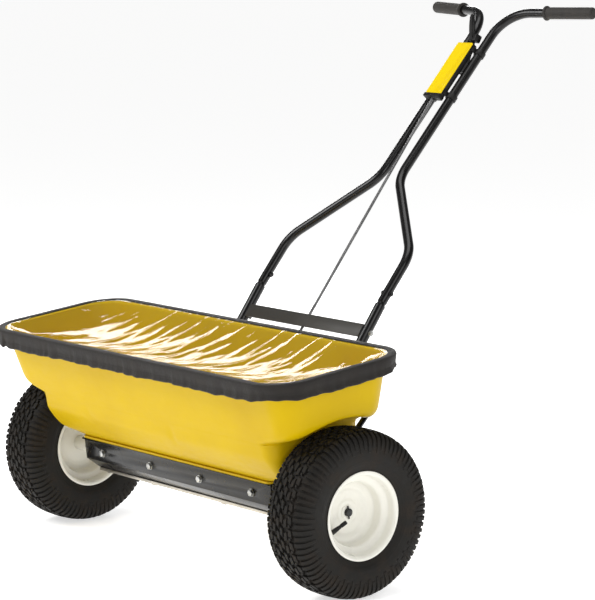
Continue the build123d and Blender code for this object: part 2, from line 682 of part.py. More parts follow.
# ---------------------------------------------------------------- gate, crank, rod and lever
sin_rod, cos_rod = rod_along.Z, rod_along.Y
crank_height = gate_pin_height + gate_arm
crank_y = (crank_rod_arm - rod_line_point.dot(rod_across) + cos_rod * crank_height) / sin_rod
crank_point = Vector(0, crank_y, crank_height)
cheek_gap = 0.5
cheek_thickness = 3.0
cheek_inner = link_thickness / 2 + cheek_gap
pin_half_length = cheek_inner + cheek_thickness + 1
gate_top = floor_top - stainless - 0.4
gate_pin_at = Vector(0, crank_y + gate_travel / 2, gate_pin_height)

with BuildPart() as gate_plate:
    low = hopper_centre_y - port_depth / 2 - 3
    high = low + 2 * port_depth + 14
    with BuildSketch(Plane((0, (low + high) / 2, gate_top))):
        Rectangle(2 * gate_half_length, high - low)
    extrude(amount=-gate_thickness)
    with BuildSketch(Plane((0, hopper_centre_y + gate_travel, gate_top))):
        with GridLocations(port_pitch, 0, port_count, 1):
            Rectangle(port_length, port_depth)
    extrude(amount=-gate_thickness, mode=Mode.SUBTRACT)
    strap_top = gate_top - gate_thickness - running_gap
    strap_start = high - 12
    strap_end = gate_pin_at.Y + 8
    with BuildSketch(Plane((0, (strap_start + strap_end) / 2, strap_top))):
        Rectangle(2 * tail_half_width, strap_end - strap_start)
    extrude(amount=-gate_thickness)
    for side in (-1, 1):
        ear_face = Plane((side * cheek_inner, gate_pin_at.Y, gate_pin_at.Z), x_dir=(0, side, 0), z_dir=(side, 0, 0))
        with BuildSketch(ear_face):
            Circle(7)
            with Locations((0, (strap_top - 1 - gate_pin_at.Z) / 2)):
                Rectangle(14, abs(strap_top - 1 - gate_pin_at.Z))
        extrude(amount=cheek_thickness)
    with BuildSketch(Plane.YZ.offset(-20)):
        with Locations((gate_pin_at.Y, gate_pin_at.Z)):
            Circle(link_pin_radius)
    extrude(amount=40, mode=Mode.SUBTRACT)
export(gate_plate, "gate_plate", chassis)
with BuildPart() as gate_pin:
    add_pin(gate_pin_at - Vector(pin_half_length, 0, 0), gate_pin_at + Vector(pin_half_length, 0, 0),
            link_pin_radius)
export(gate_pin, "gate_pin", chassis)


def add_link_arm(angle, radius, slot_travel):
    """Add to the sketch a rounded arm at an angle, with a slot about the radius for a pin that slides in it."""
    with PolarLocations(0, 1, start_angle=angle):
        with Locations((radius / 2, 0)):
            Rectangle(radius, 12)
        with Locations((radius + slot_travel / 2, 0)):
            SlotOverall(slot_travel + 16, 14)
    with PolarLocations(0, 1, start_angle=angle):
        with Locations((radius + slot_travel / 2, 0)):
            SlotOverall(slot_travel + 2 * (link_pin_radius + slot_slack) + 0.8, 2 * (link_pin_radius + slot_slack),
                        mode=Mode.SUBTRACT)


hub_half_length = cheek_inner + cheek_thickness + 1.5
bracket_inner = hub_half_length + 0.5
pivot_radius = 4.0
rod_angle = 90 + rod_slope
half_crank = crank_sweep / 2
half_lever = lever_sweep / 2
with BuildPart() as crank:
    with BuildSketch(Plane(origin=crank_point - Vector(link_thickness / 2, 0, 0), x_dir=(0, 1, 0),
                           z_dir=(1, 0, 0))):
        Circle(9)
        add_link_arm(rod_angle + half_crank, crank_rod_arm, 1.1)
        add_link_arm(-90 + half_crank, gate_arm, 1.4)
    extrude(amount=link_thickness)
    with BuildSketch(Plane(origin=crank_point - Vector(hub_half_length, 0, 0), x_dir=(0, 1, 0), z_dir=(1, 0, 0))):
        Circle(8)
    extrude(amount=2 * hub_half_length)
    with BuildSketch(Plane(origin=crank_point - Vector(20, 0, 0), x_dir=(0, 1, 0), z_dir=(1, 0, 0))):
        Circle(pivot_radius + running_gap)
    extrude(amount=40, mode=Mode.SUBTRACT)
export(crank, "gate_crank", chassis)
with BuildPart() as crank_pin:
    add_pin(crank_point - Vector(bracket_inner + 5, 0, 0), crank_point + Vector(bracket_inner + 5, 0, 0),
            pivot_radius)
export(crank_pin, "crank_pin", chassis)
with BuildPart() as crank_bracket:
    for side in (-1, 1):
        with BuildSketch(Plane.YZ.offset(side * bracket_inner)):
            with BuildLine():
                Polyline((web_outer, 42), (web_outer, 6), (crank_y + 9, crank_height - 9),
                         (crank_y + 9, crank_height + 9), (crank_y - 4, crank_height + 11), close=True)
            make_face()
        extrude(amount=side * cheek_thickness)
        with BuildSketch(Plane((side * (bracket_inner + 10), web_outer, 24), x_dir=(1, 0, 0), z_dir=(0, -1, 0))):
            Rectangle(20, 36)
        extrude(amount=-cheek_thickness)
    with BuildSketch(Plane.YZ.offset(-40)):
        with Locations((crank_point.Y, crank_point.Z)):
            Circle(pivot_radius)
    extrude(amount=80, mode=Mode.SUBTRACT)
export(crank_bracket, "crank_bracket", chassis)

rod_pin_middle = Vector(0, *tuple(handle_plane.from_local_coords((0, rod_pin_along, rod_pin_height)))[1:])
lever_point = rod_pin_middle - rod_across * lever_arm
lower_pin_at = crank_point + rod_across * crank_rod_arm - rod_along * (rod_travel / 2)
upper_pin_at = rod_pin_middle - rod_along * (rod_travel / 2)
fork_width = 2 * (cheek_inner + cheek_thickness)
fork_depth = 11.0
fork_reach = 24.0
fork_throat = 13.0
rod_bend_at = Vector(0, *tuple(handle_plane.from_local_coords((0, console_start + 6, rod_bend_height)))[1:])


def add_fork(pin_at, toward):
    """Add a fork end whose arms straddle a link at the pin and whose base lies towards the rod."""
    base = Plane(origin=pin_at - toward * 7, x_dir=(1, 0, 0), z_dir=tuple(toward))
    with BuildSketch(base) as outside:
        Rectangle(fork_width, fork_depth)
    extrude(outside.sketch, amount=fork_reach)
    with BuildSketch(base) as slot:
        Rectangle(2 * cheek_inner, fork_depth + 2)
    extrude(slot.sketch, amount=fork_throat + 7, mode=Mode.SUBTRACT)
    with BuildSketch(side_plane((-20, pin_at.Y, pin_at.Z))) as hole:
        Circle(link_pin_radius)
    extrude(hole.sketch, amount=40, mode=Mode.SUBTRACT)


rod_start = lower_pin_at + rod_along * (fork_throat + 1)
rod_end_plane_along = (upper_pin_at - rod_bend_at).normalized()
rod_end = upper_pin_at - rod_end_plane_along * (fork_throat + 1)
with BuildPart() as control_rod:
    add_tube((rod_start, rod_bend_at, rod_end), 60.0, rod_radius, None)
    add_fork(lower_pin_at, rod_along)
    add_fork(upper_pin_at, -rod_end_plane_along)
export(control_rod, "control_rod", chassis)
with BuildPart() as rod_pins:
    for at in (lower_pin_at, upper_pin_at):
        add_pin(at - Vector(pin_half_length, 0, 0), at + Vector(pin_half_length, 0, 0), link_pin_radius)
export(rod_pins, "rod_pins", chassis)

paddle_foot = Vector(0, *tuple(handle_plane.from_local_coords((0, 360, 10)))[1:])
paddle_tip = Vector(0, *tuple(handle_plane.from_local_coords((0, 403, 49)))[1:])
paddle_along = (paddle_tip - paddle_foot).normalized()
paddle_half_width = 7.5
with BuildPart() as lever:
    with BuildSketch(Plane(origin=lever_point - Vector(link_thickness / 2, 0, 0), x_dir=(0, 1, 0),
                           z_dir=(1, 0, 0))):
        Circle(9)
        add_link_arm(rod_angle + half_lever, lever_arm, 1.3)
        with BuildLine() as shank:
            Polyline((0, 0), tuple(paddle_foot - lever_point)[1:], tuple(paddle_tip - lever_point)[1:])
        trace(shank.line, line_width=9)
    extrude(amount=link_thickness)
    with BuildSketch(Plane(origin=(paddle_foot + paddle_tip) / 2, x_dir=tuple(paddle_along),
                           z_dir=(0, -paddle_along.Z, paddle_along.Y))):
        Ellipse((paddle_tip - paddle_foot).length / 2 + 6, paddle_half_width)
    extrude(amount=2.5, both=True)
    with BuildSketch(Plane(origin=lever_point - Vector(hub_half_length, 0, 0), x_dir=(0, 1, 0), z_dir=(1, 0, 0))):
        Circle(8)
    extrude(amount=2 * hub_half_length)
    with BuildSketch(Plane(origin=lever_point - Vector(20, 0, 0), x_dir=(0, 1, 0), z_dir=(1, 0, 0))):
        Circle(pivot_radius + running_gap)
    extrude(amount=40, mode=Mode.SUBTRACT)
export(lever, "lever", chassis)
with BuildPart() as lever_pin:
    add_pin(lever_point - Vector(bracket_inner + 4.5, 0, 0), lever_point + Vector(bracket_inner + 4.5, 0, 0),
            pivot_radius)
export(lever_pin, "lever_pin", chassis)

# ---------------------------------------------------------------- console
console_floor = 12.6
console_top = console_start + console_length
slot_half_width = bracket_inner - 0.5
handle_side = Plane(origin=handle_plane.origin, x_dir=tuple(handle_plane.y_dir), z_dir=(1, 0, 0))
with BuildPart() as console_base:
    with BuildSketch(handle_plane.offset(console_floor)):
        with Locations((0, console_start + console_length / 2)):
            Rectangle(2 * console_half_width, console_length)
    extrude(amount=console_height - cover_skin - console_floor)
    with BuildSketch(handle_plane.offset(console_floor + cover_skin)):
        with Locations((0, console_start + console_length / 2)):
            Rectangle(2 * (console_half_width - cover_skin), console_length + 2)
    extrude(amount=console_height, mode=Mode.SUBTRACT)
    with BuildSketch(handle_plane.offset(console_floor - 1)):
        with Locations((0, rod_pin_along - 17)):
            Rectangle(2 * slot_half_width, 2 * fork_reach + 32)
    extrude(amount=cover_skin + 2, mode=Mode.SUBTRACT)
    pivot_local = handle_plane.to_local_coords(lever_point)
    for side in (-1, 1):
        with BuildSketch(handle_side.offset(side * bracket_inner)):
            with BuildLine():
                Polyline((pivot_local.Y - 22, console_floor + cover_skin), (pivot_local.Y - 9, pivot_local.Z - 9),
                         (pivot_local.Y + 9, pivot_local.Z - 9), (pivot_local.Y + 22, console_floor + cover_skin),
                         close=True)
            make_face()
        extrude(amount=side * cheek_thickness)
    with BuildSketch(handle_side.offset(bracket_inner)):
        with BuildLine():
            Polyline((console_top - 14, console_floor + 1), (console_top - 2, console_floor + 1),
                     (console_top + 22, 12), (console_top + 27, 18), (console_top + 22, 26),
                     (console_top - 2, console_height - cover_skin - 1),
                     (console_top - 14, console_height - cover_skin - 1), close=True)
        make_face()
    extrude(amount=cheek_thickness)
    with BuildSketch(side_plane((-30, lever_point.Y, lever_point.Z))):
        Circle(pivot_radius)
    extrude(amount=60, mode=Mode.SUBTRACT)
    knob_along, knob_height = console_top + 18, 19.0
    with BuildSketch(handle_side):
        with Locations((knob_along, knob_height)):
            Circle(3 + running_gap)
    extrude(amount=40, mode=Mode.SUBTRACT)
export(console_base, "console_base", chassis)
with BuildPart() as console_cover:
    with BuildSketch(handle_plane.offset(console_height - cover_skin)):
        with Locations((0, console_start + console_length / 2)):
            RectangleRounded(2 * console_half_width, console_length, 4)
    extrude(amount=cover_skin)
export(console_cover, "console_cover", chassis)
with BuildPart() as console_cap:
    with BuildSketch(handle_plane.offset(console_floor)):
        with Locations((0, console_start - 4.6)):
            RectangleRounded(2 * console_half_width + 2, 9, 2)
    extrude(amount=console_height - console_floor + 1)
    with BuildSketch(Plane(origin=rod_bend_at, x_dir=(1, 0, 0), z_dir=tuple(rod_along))):
        Circle(rod_radius + 2)
    extrude(amount=30, both=True, mode=Mode.SUBTRACT)
export(console_cap, "console_cap", chassis)

clip_width = 12.0
clip_wall = 2.0
for start, name in ((console_start + 4, "lower"), (console_top - clip_width - 4, "upper")):
    across = Plane(origin=handle_plane.from_local_coords((0, start, 0)), x_dir=(1, 0, 0),
                   z_dir=tuple(handle_plane.y_dir))
    with BuildPart() as clips:
        for side in (-1, 1):
            with BuildSketch(across) as clip:
                with Locations((side * waist_half_width, 0)):
                    Circle(upper_tube_radius + running_gap + clip_wall)
                    Circle(upper_tube_radius + running_gap, mode=Mode.SUBTRACT)
                with Locations((side * (console_half_width + 1.3), -16)):
                    Rectangle(clip_wall, 11.5)
            extrude(clip.sketch, amount=clip_width)
    export(clips, f"console_clips_{name}", chassis)
with BuildPart() as stop_knob:
    knob_plane = handle_side.offset(bracket_inner + cheek_thickness + 0.4)
    with BuildSketch(knob_plane) as head:
        with Locations((knob_along, knob_height)):
            RectangleRounded(17, 17, 3, rotation=12)
    extrude(head.sketch, amount=9)
    with BuildSketch(knob_plane) as stud:
        with Locations((knob_along, knob_height)):
            Circle(3)
    extrude(stud.sketch, amount=-cheek_thickness - 1.2)
export(stop_knob, "stop_knob", chassis)
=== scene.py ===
"""Looks of a walk-behind drop spreader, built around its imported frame.

Metres. X runs along the axle, Y to the rear, Z up, and the ground is Z = 0. The chassis is drawn level,
with its origin on the axle line, and PARKED then tips it forward onto its stand.
"""
import logging
import math
from dataclasses import dataclass, field
from enum import Enum

import bmesh
import bpy
from mathutils import Matrix, Quaternion, Vector, noise


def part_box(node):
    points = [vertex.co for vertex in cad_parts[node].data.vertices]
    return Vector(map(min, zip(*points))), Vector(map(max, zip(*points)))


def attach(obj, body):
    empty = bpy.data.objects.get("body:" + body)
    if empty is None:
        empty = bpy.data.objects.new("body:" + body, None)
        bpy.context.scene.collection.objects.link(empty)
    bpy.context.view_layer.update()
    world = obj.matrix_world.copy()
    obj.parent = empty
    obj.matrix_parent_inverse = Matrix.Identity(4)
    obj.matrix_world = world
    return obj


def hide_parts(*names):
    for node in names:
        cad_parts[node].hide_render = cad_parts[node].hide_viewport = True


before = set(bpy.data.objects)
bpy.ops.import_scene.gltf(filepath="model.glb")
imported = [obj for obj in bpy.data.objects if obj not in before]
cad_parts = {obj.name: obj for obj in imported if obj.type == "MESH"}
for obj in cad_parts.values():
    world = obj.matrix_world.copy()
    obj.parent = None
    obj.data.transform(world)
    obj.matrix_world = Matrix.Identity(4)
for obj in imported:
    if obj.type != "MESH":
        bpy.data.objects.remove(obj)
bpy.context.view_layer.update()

log = logging.getLogger("spreader")
Piece = bpy.types.Object
Material = bpy.types.Material
Colour = tuple[float, float, float]
Pair = tuple[float, float]
Socket = bpy.types.NodeSocket

AXLE_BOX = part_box("axle")
AXLE_HEIGHT = (AXLE_BOX[0].z + AXLE_BOX[1].z) / 2
PARK_TIP = math.radians(7)
PARKED = Matrix.Translation((0, 0, AXLE_HEIGHT)) @ Matrix.Rotation(PARK_TIP, 4, "X")


class Body(Enum):
    """The bodies that pieces ride on."""

    CHASSIS = "chassis"
    DRIVE_AXLE = "drive_axle"
    FREE_WHEEL = "free_wheel"
    COVER = "cover"
    LEVER = "lever"
    ROD = "rod"
    CRANK = "crank"
    GATE = "gate"
    KNOB = "knob"


class Side(Enum):
    """The two ends of the axle, by the sign of X."""

    LEFT = -1
    RIGHT = 1

    @property
    def word(self) -> str:
        """The side as it stands in node names."""
        return self.name.lower()


# ---------------------------------------------------------------- mesh tools
def smoothstep(low: float, high: float, value: float) -> float:
    """Return 0 below low, 1 above high, and a smooth ramp between."""
    share = min(max((value - low) / (high - low), 0.0), 1.0)
    return share * share * (3 - 2 * share)


def tidy_mesh(mesh: bpy.types.Mesh, crease: float, outward: bool = True) -> None:
    """Merge doubles, point the faces outwards and smooth the mesh.

    Args:
        mesh: The mesh to mend in place.
        crease: Edges that turn more than this many degrees stay sharp.
        outward: Recalculate which way the faces point.
    """
    work = bmesh.new()
    work.from_mesh(mesh)
    bmesh.ops.remove_doubles(work, verts=work.verts, dist=1e-6)
    bmesh.ops.dissolve_degenerate(work, dist=1e-7, edges=work.edges)
    if outward:
        bmesh.ops.recalc_face_normals(work, faces=work.faces)
    work.to_mesh(mesh)
    work.free()
    mesh.shade_smooth()
    mesh.set_sharp_from_angle(angle=math.radians(crease))


def new_piece(name: str, mesh: bpy.types.Mesh) -> Piece:
    """Link an object that holds the mesh and return it."""
    piece = bpy.data.objects.new(name, mesh)
    bpy.context.scene.collection.objects.link(piece)
    return piece


def mesh_piece(name: str, verts: list, faces: list, place: Matrix | None = None, crease: float = 40.0) -> Piece:
    """Build a mesh object from points and faces.

    Args:
        name: The piece's name.
        verts: Its points.
        faces: Its faces, as point numbers.
        place: Where it goes in the frame.
        crease: Edges that turn more than this many degrees stay sharp.

    Returns:
        The linked object, with its place in its mesh.
    """
    mesh = bpy.data.meshes.new(name)
    mesh.from_pydata([tuple(v) for v in verts], [], faces)
    if place is not None:
        mesh.transform(place)
    tidy_mesh(mesh, crease)
    return new_piece(name, mesh)


def skin(rings: list, looped: bool = False, capped: bool = False) -> tuple[list, list]:
    """Stretch quads over a row of rings.

    Args:
        rings: Rings with equal numbers of points.
        looped: Join the last ring to the first.
        capped: Close the first and last rings with a face.

    Returns:
        The points and the faces.
    """
    count = len(rings[0])
    verts = [point for ring in rings for point in ring]
    faces = []
    for row in range(len(rings) if looped else len(rings) - 1):
        here, there = row * count, (row + 1) % len(rings) * count
        for k in range(count):
            after = (k + 1) % count
            faces.append((here + k, here + after, there + after, there + k))
    if capped:
        faces.append(tuple(range(count)))
        faces.append(tuple(range(len(verts) - count, len(verts))))
    return verts, faces


def smoothed(points: list[Pair], steps: int = 4) -> list[Pair]:
    """Return a smooth line through the points, with steps points to each span."""
    ends = [points[0], *points, points[-1]]
    line = []
    for a, b, c, d in zip(ends, ends[1:], ends[2:], ends[3:]):
        for k in range(steps):
            t = k / steps
            line.append(tuple(
                0.5 * (2 * q + (r - p) * t + (2 * p - 5 * q + 4 * r - s) * t * t + (3 * q - p - 3 * r + s) * t ** 3)
                for p, q, r, s in zip(a, b, c, d)))
    line.append(points[-1])
    return line


def lathe(profile: list[Pair], segments: int) -> list[list[Vector]]:
    """Return rings about the X axis for a profile of (along, radius) points."""
    turns = [2 * math.pi * k / segments for k in range(segments)]
    return [[Vector((along, radius * math.cos(t), radius * math.sin(t))) for t in turns]
            for along, radius in profile]


def bent_path(points: list[Vector], bend: float, steps: int = 12) -> list[Vector]:
    """Return a line of straight runs through the points, joined by arcs of one radius."""
    line = [points[0]]
    for before, corner, after in zip(points, points[1:], points[2:]):
        back, on = (before - corner).normalized(), (after - corner).normalized()
        half = back.angle(on) / 2
        centre = corner + (back + on).normalized() * (bend / math.sin(half))
        spoke = corner + back * (bend / math.tan(half)) - centre
        axis = spoke.cross(corner + on * (bend / math.tan(half)) - centre).normalized()
        line += [centre + Quaternion(axis, (math.pi - 2 * half) * k / steps) @ spoke for k in range(steps + 1)]
    line.append(points[-1])
    return line


def rings_along(path: list[Vector], radii: list[float], sides: int) -> list[list[Vector]]:
    """Return a ring of each radius, square to the path, at each of its points."""
    aside = (path[1] - path[0]).orthogonal().normalized()
    rings = []
    for index, (point, radius) in enumerate(zip(path, radii)):
        along = (path[min(index + 1, len(path) - 1)] - path[max(index - 1, 0)]).normalized()
        aside = (aside - along * aside.dot(along)).normalized()
        across = along.cross(aside)
        turns = [2 * math.pi * k / sides for k in range(sides)]
        rings.append([point + (aside * math.cos(t) + across * math.sin(t)) * radius for t in turns])
    return rings


def tube_piece(name: str, path: list[Vector], radius: float, wall: float, place: Matrix) -> Piece:
    """Build a hollow round tube along a path, its ends turned in by a small radius."""
    edge = 0.3 * wall
    first, last = (path[1] - path[0]).normalized(), (path[-1] - path[-2]).normalized()
    line = [path[0], path[0] + first * edge, *path[1:-1], path[-1] - last * edge, path[-1]]
    outer = [radius - edge] + [radius] * (len(line) - 2) + [radius - edge]
    inner = [radius - wall + edge] + [radius - wall] * (len(line) - 2) + [radius - wall + edge]
    rings = rings_along(line, outer, 32) + rings_along(line, inner, 32)[::-1]
    verts, faces = skin(rings, looped=True)
    return mesh_piece(name, verts, faces, place)


def rounded_ring(half_x: float, half_y: float, corner: float, counts: tuple[int, int, int]) -> list[Pair]:
    """Return points round a rounded rectangle, anticlockwise from the front-left.

    Args:
        half_x: Half its length.
        half_y: Half its depth.
        corner: Its corner radius.
        counts: Points on each long side, each short side and each corner.
    """
    flat_x, flat_y = half_x - corner, half_y - corner
    points = []
    for quarter in range(4):
        turn = math.pi / 2 * (quarter - 1)
        along = counts[quarter % 2]
        start = ((-flat_x, -half_y), (half_x, -flat_y), (flat_x, half_y), (-half_x, flat_y))[quarter]
        end = ((flat_x, -half_y), (half_x, flat_y), (-flat_x, half_y), (-half_x, -flat_y))[quarter]
        points += [(start[0] + (end[0] - start[0]) * k / along, start[1] + (end[1] - start[1]) * k / along)
                   for k in range(along)]
        centre = ((flat_x, -flat_y), (flat_x, flat_y), (-flat_x, flat_y), (-flat_x, -flat_y))[quarter]
        points += [(centre[0] + corner * math.cos(turn + math.pi / 2 * k / counts[2]),
                    centre[1] + corner * math.sin(turn + math.pi / 2 * k / counts[2])) for k in range(counts[2])]
    return points


def plain_copy(node: str) -> bmesh.types.BMesh:
    """Return a CAD node's mesh as one joined surface, ready to work on."""
    work = bmesh.new()
    work.from_mesh(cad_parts[node].data)
    bmesh.ops.remove_doubles(work, verts=work.verts, dist=1e-5)
    return work


def softened(node: str, width: float, crease: float = 38.0) -> Piece:
    """Build a copy of a CAD node with its hard edges rounded.

    Args:
        node: The CAD node that the copy stands for.
        width: How wide the rounding is.
        crease: Edges that turn more than this many degrees are rounded.
    """
    work = plain_copy(node)
    bmesh.ops.dissolve_limit(work, angle_limit=math.radians(0.6), verts=work.verts, edges=work.edges)
    hard = [e for e in work.edges if len(e.link_faces) == 2 and e.calc_face_angle(0.0) > math.radians(crease)]
    bmesh.ops.bevel(work, geom=hard, offset=width, offset_type="OFFSET", segments=2, profile=0.5,
                    affect="EDGES", clamp_overlap=True)
    mesh = bpy.data.meshes.new(f"{node}_worked")
    work.to_mesh(mesh)
    work.free()
    for attribute in [a.name for a in mesh.attributes if a.name == "custom_normal"]:
        mesh.attributes.remove(mesh.attributes[attribute])
    tidy_mesh(mesh, crease, outward=False)
    return new_piece(f"{node}_worked", mesh)


def solids_of(node: str) -> list[list[Vector]]:
    """Return the points of each separate solid in a CAD node."""
    work = plain_copy(node)
    left, solids = set(work.verts), []
    while left:
        front = [left.pop()]
        found = list(front)
        while front:
            near = {e.other_vert(v) for v in front for e in v.link_edges} & left
            left -= near
            front = list(near)
            found += front
        solids.append([v.co.copy() for v in found])
    work.free()
    return sorted(solids, key=lambda points: min(p.x for p in points))


def dress(piece: Piece, material: Material, slot: str, body: Body, *nodes: str) -> Piece:
    """Give a finished piece its material, body and the CAD nodes that it stands for."""
    piece.data.materials.clear()
    piece.data.materials.append(material)
    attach(piece, body.value)
    if nodes:
        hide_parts(*nodes)
    log.info("%s rides on %s", piece.name, body.value)
    return piece


# ---------------------------------------------------------------- geometry nodes
class Tree:
    """A geometry node tree with named inputs, ending in plain geometry with one material."""

    def __init__(self, name: str, **sizes: float) -> None:
        """Start a tree whose inputs are the sizes, whole numbers as integers."""
        self.group = bpy.data.node_groups.new(name, "GeometryNodeTree")
        face = self.group.interface
        face.new_socket("Geometry", in_out="INPUT", socket_type="NodeSocketGeometry")
        for label, value in sizes.items():
            kind = "NodeSocketInt" if isinstance(value, int) else "NodeSocketFloat"
            face.new_socket(label, in_out="INPUT", socket_type=kind).default_value = value
        face.new_socket("Material", in_out="INPUT", socket_type="NodeSocketMaterial")
        face.new_socket("Geometry", in_out="OUTPUT", socket_type="NodeSocketGeometry")
        self.inputs = self.group.nodes.new("NodeGroupInput").outputs
        self.sink = self.group.nodes.new("NodeGroupOutput")

    def add(self, kind: str, settings: dict | None = None, **inputs: object) -> bpy.types.Node:
        """Add a node.

        Args:
            kind: The node's type.
            settings: Its own options.
            inputs: Values or sockets for its inputs, by name with _ for a space.

        Returns:
            The node.
        """
        node = self.group.nodes.new(kind)
        for option, value in (settings or {}).items():
            setattr(node, option, value)
        for label, value in inputs.items():
            target = node.inputs[label.replace("_", " ")]
            for source in value if isinstance(value, list) else [value]:
                if isinstance(source, bpy.types.NodeSocket):
                    self.group.links.new(source, target)
                else:
                    target.default_value = source
        return node

    def maths(self, operation: str, a: object, b: object) -> Socket:
        """Return one sum of two numbers or sockets."""
        node = self.add("ShaderNodeMath", {"operation": operation})
        for target, value in zip(node.inputs, (a, b)):
            if isinstance(value, bpy.types.NodeSocket):
                self.group.links.new(value, target)
            else:
                target.default_value = value
        return node.outputs[0]

    def attribute(self, name: str, kind: str = "FLOAT") -> Socket:
        """Return a named attribute of the points."""
        return self.add("GeometryNodeInputNamedAttribute", {"data_type": kind}, Name=name).outputs[0]

    def close(self, geometry: Socket) -> None:
        """End the tree with real geometry in the given material."""
        real = self.add("GeometryNodeRealizeInstances", Geometry=geometry)
        painted = self.add("GeometryNodeSetMaterial", Geometry=real.outputs[0], Material=self.inputs["Material"])
        self.group.links.new(painted.outputs[0], self.sink.inputs[0])

    def grow(self, seed: Piece, name: str, material: Material, **sizes: float) -> Piece:
        """Run the tree on a seed object and keep the result as a plain piece.

        Args:
            seed: The object that the tree starts from; it is removed.
            name: The new piece's name.
            material: The material for all of it.
            sizes: Values for the tree's named inputs.

        Returns:
            The new piece.
        """
        modifier = seed.modifiers.new("grow", "NODES")
        modifier.node_group = self.group
        by_name = {s.name: s.identifier for s in self.group.interface.items_tree if s.in_out == "INPUT"}
        for label, value in {**sizes, "Material": material}.items():
            modifier[by_name[label]] = value
        seed.update_tag()
        bpy.context.view_layer.update()
        grown = bpy.data.meshes.new_from_object(seed.evaluated_get(bpy.context.evaluated_depsgraph_get()))
        seed.modifiers.remove(modifier)
        bpy.data.objects.remove(seed)
        grown.name = name
        return new_piece(name, grown)


def ring_tree() -> Tree:
    """Return a tree that repeats the seed's mesh about the X axis."""
    tree = Tree("ring_of_sectors", Count=40)
    points = tree.add("GeometryNodePoints", Count=tree.inputs["Count"])
    index = tree.add("GeometryNodeInputIndex").outputs[0]
    turn = tree.maths("MULTIPLY", index, tree.maths("DIVIDE", 2 * math.pi, tree.inputs["Count"]))
    angles = tree.add("ShaderNodeCombineXYZ", X=turn)
    rotation = tree.add("FunctionNodeEulerToRotation", Euler=angles.outputs[0])
    copies = tree.add("GeometryNodeInstanceOnPoints", Points=points.outputs[0],
                      Instance=tree.inputs["Geometry"], Rotation=rotation.outputs[0])
    tree.close(copies.outputs[0])
    return tree


def fastener_tree() -> Tree:
    """Return a tree that puts a washered hexagon bolt, its nut and its stud end at each point.

    Each point lies where the bolt's head bears. Its axis attribute points out of the head, and its shank and
    grip attributes are the bolt's radius and the thickness that it clamps.
    """
    tree = Tree("hexagon_bolts", Head=1.05, Washer=0.25, Hexagon=1.75)

    def prism(sides: int, radius: Socket | float, depth: Socket | float, rise: Socket | float) -> Socket:
        solid = tree.add("GeometryNodeMeshCylinder", Vertices=sides, Radius=radius, Depth=depth)
        middle = tree.add("ShaderNodeCombineXYZ", Z=tree.maths("ADD", rise, tree.maths("MULTIPLY", depth, 0.5)))
        return tree.add("GeometryNodeTransform", Geometry=solid.outputs[0], Translation=middle.outputs[0]).outputs[0]

    washer, head, hexagon = tree.inputs["Washer"], tree.inputs["Head"], tree.inputs["Hexagon"]
    crown = tree.add("GeometryNodeMeshCone", Vertices=24, Depth=0.12)
    tree.group.links.new(tree.maths("MULTIPLY", hexagon, 0.86), crown.inputs["Radius Bottom"])
    tree.group.links.new(tree.maths("MULTIPLY", hexagon, 0.74), crown.inputs["Radius Top"])
    crown_rise = tree.add("ShaderNodeCombineXYZ", Z=tree.maths("ADD", washer, head))
    crown = tree.add("GeometryNodeTransform", Geometry=crown.outputs[0], Translation=crown_rise.outputs[0])
    plate = prism(24, tree.maths("MULTIPLY", hexagon, 1.12), washer, 0.0)
    nut = prism(6, hexagon, head, washer)
    stud = prism(16, 0.98, 0.5, tree.maths("ADD", washer, head))
    axis = tree.attribute("axis", "FLOAT_VECTOR")
    shank = tree.attribute("shank")

    def spread(points: Socket, parts: list[Socket], direction: Socket) -> Socket:
        joined = tree.add("GeometryNodeJoinGeometry", Geometry=parts)
        turned = tree.add("FunctionNodeAlignRotationToVector", {"axis": "Z"}, Vector=direction)
        copies = tree.add("GeometryNodeInstanceOnPoints", Points=points, Instance=joined.outputs[0],
                          Rotation=turned.outputs[0], Scale=shank)
        return copies.outputs[0]

    back = tree.add("ShaderNodeVectorMath", {"operation": "SCALE"}, Vector=axis)
    tree.group.links.new(tree.maths("MULTIPLY", tree.attribute("grip"), -1.0), back.inputs["Scale"])
    behind = tree.add("GeometryNodeSetPosition", Geometry=tree.inputs["Geometry"], Offset=back.outputs[0])
    reverse = tree.add("ShaderNodeVectorMath", {"operation": "SCALE"}, Vector=axis)
    reverse.inputs["Scale"].default_value = -1.0
    heads = spread(tree.inputs["Geometry"], [plate, nut, crown.outputs[0]], axis)
    nuts = spread(behind.outputs[0], [plate, nut, stud], reverse.outputs[0])
    tree.close(tree.add("GeometryNodeJoinGeometry", Geometry=[heads, nuts]).outputs[0])
    return tree


def stitch_tree() -> Tree:
    """Return a tree that lays short threads along the seed's line of edges."""
    tree = Tree("stitches", Count=400, Thread=0.0004, Stitch=0.004)
    line = tree.add("GeometryNodeMeshToCurve", Mesh=tree.inputs["Geometry"])
    points = tree.add("GeometryNodeCurveToPoints", {"mode": "COUNT"}, Curve=line.outputs[0],
                      Count=tree.inputs["Count"])
    thread = tree.add("GeometryNodeMeshCylinder", Vertices=6, Radius=tree.inputs["Thread"],
                      Depth=tree.inputs["Stitch"])
    along = tree.add("FunctionNodeAlignRotationToVector", {"axis": "Z"}, Vector=points.outputs["Tangent"])
    copies = tree.add("GeometryNodeInstanceOnPoints", Points=points.outputs["Points"],
                      Instance=thread.outputs[0], Rotation=along.outputs[0])
    tree.close(copies.outputs[0])
    return tree


# ---------------------------------------------------------------- finishes
def srgb(red: int, green: int, blue: int) -> Colour:
    """Return a linear colour from the usual 0 to 255 numbers."""
    shares = [c / 255 for c in (red, green, blue)]
    return tuple(c / 12.92 if c <= 0.04045 else ((c + 0.055) / 1.055) ** 2.4 for c in shares)


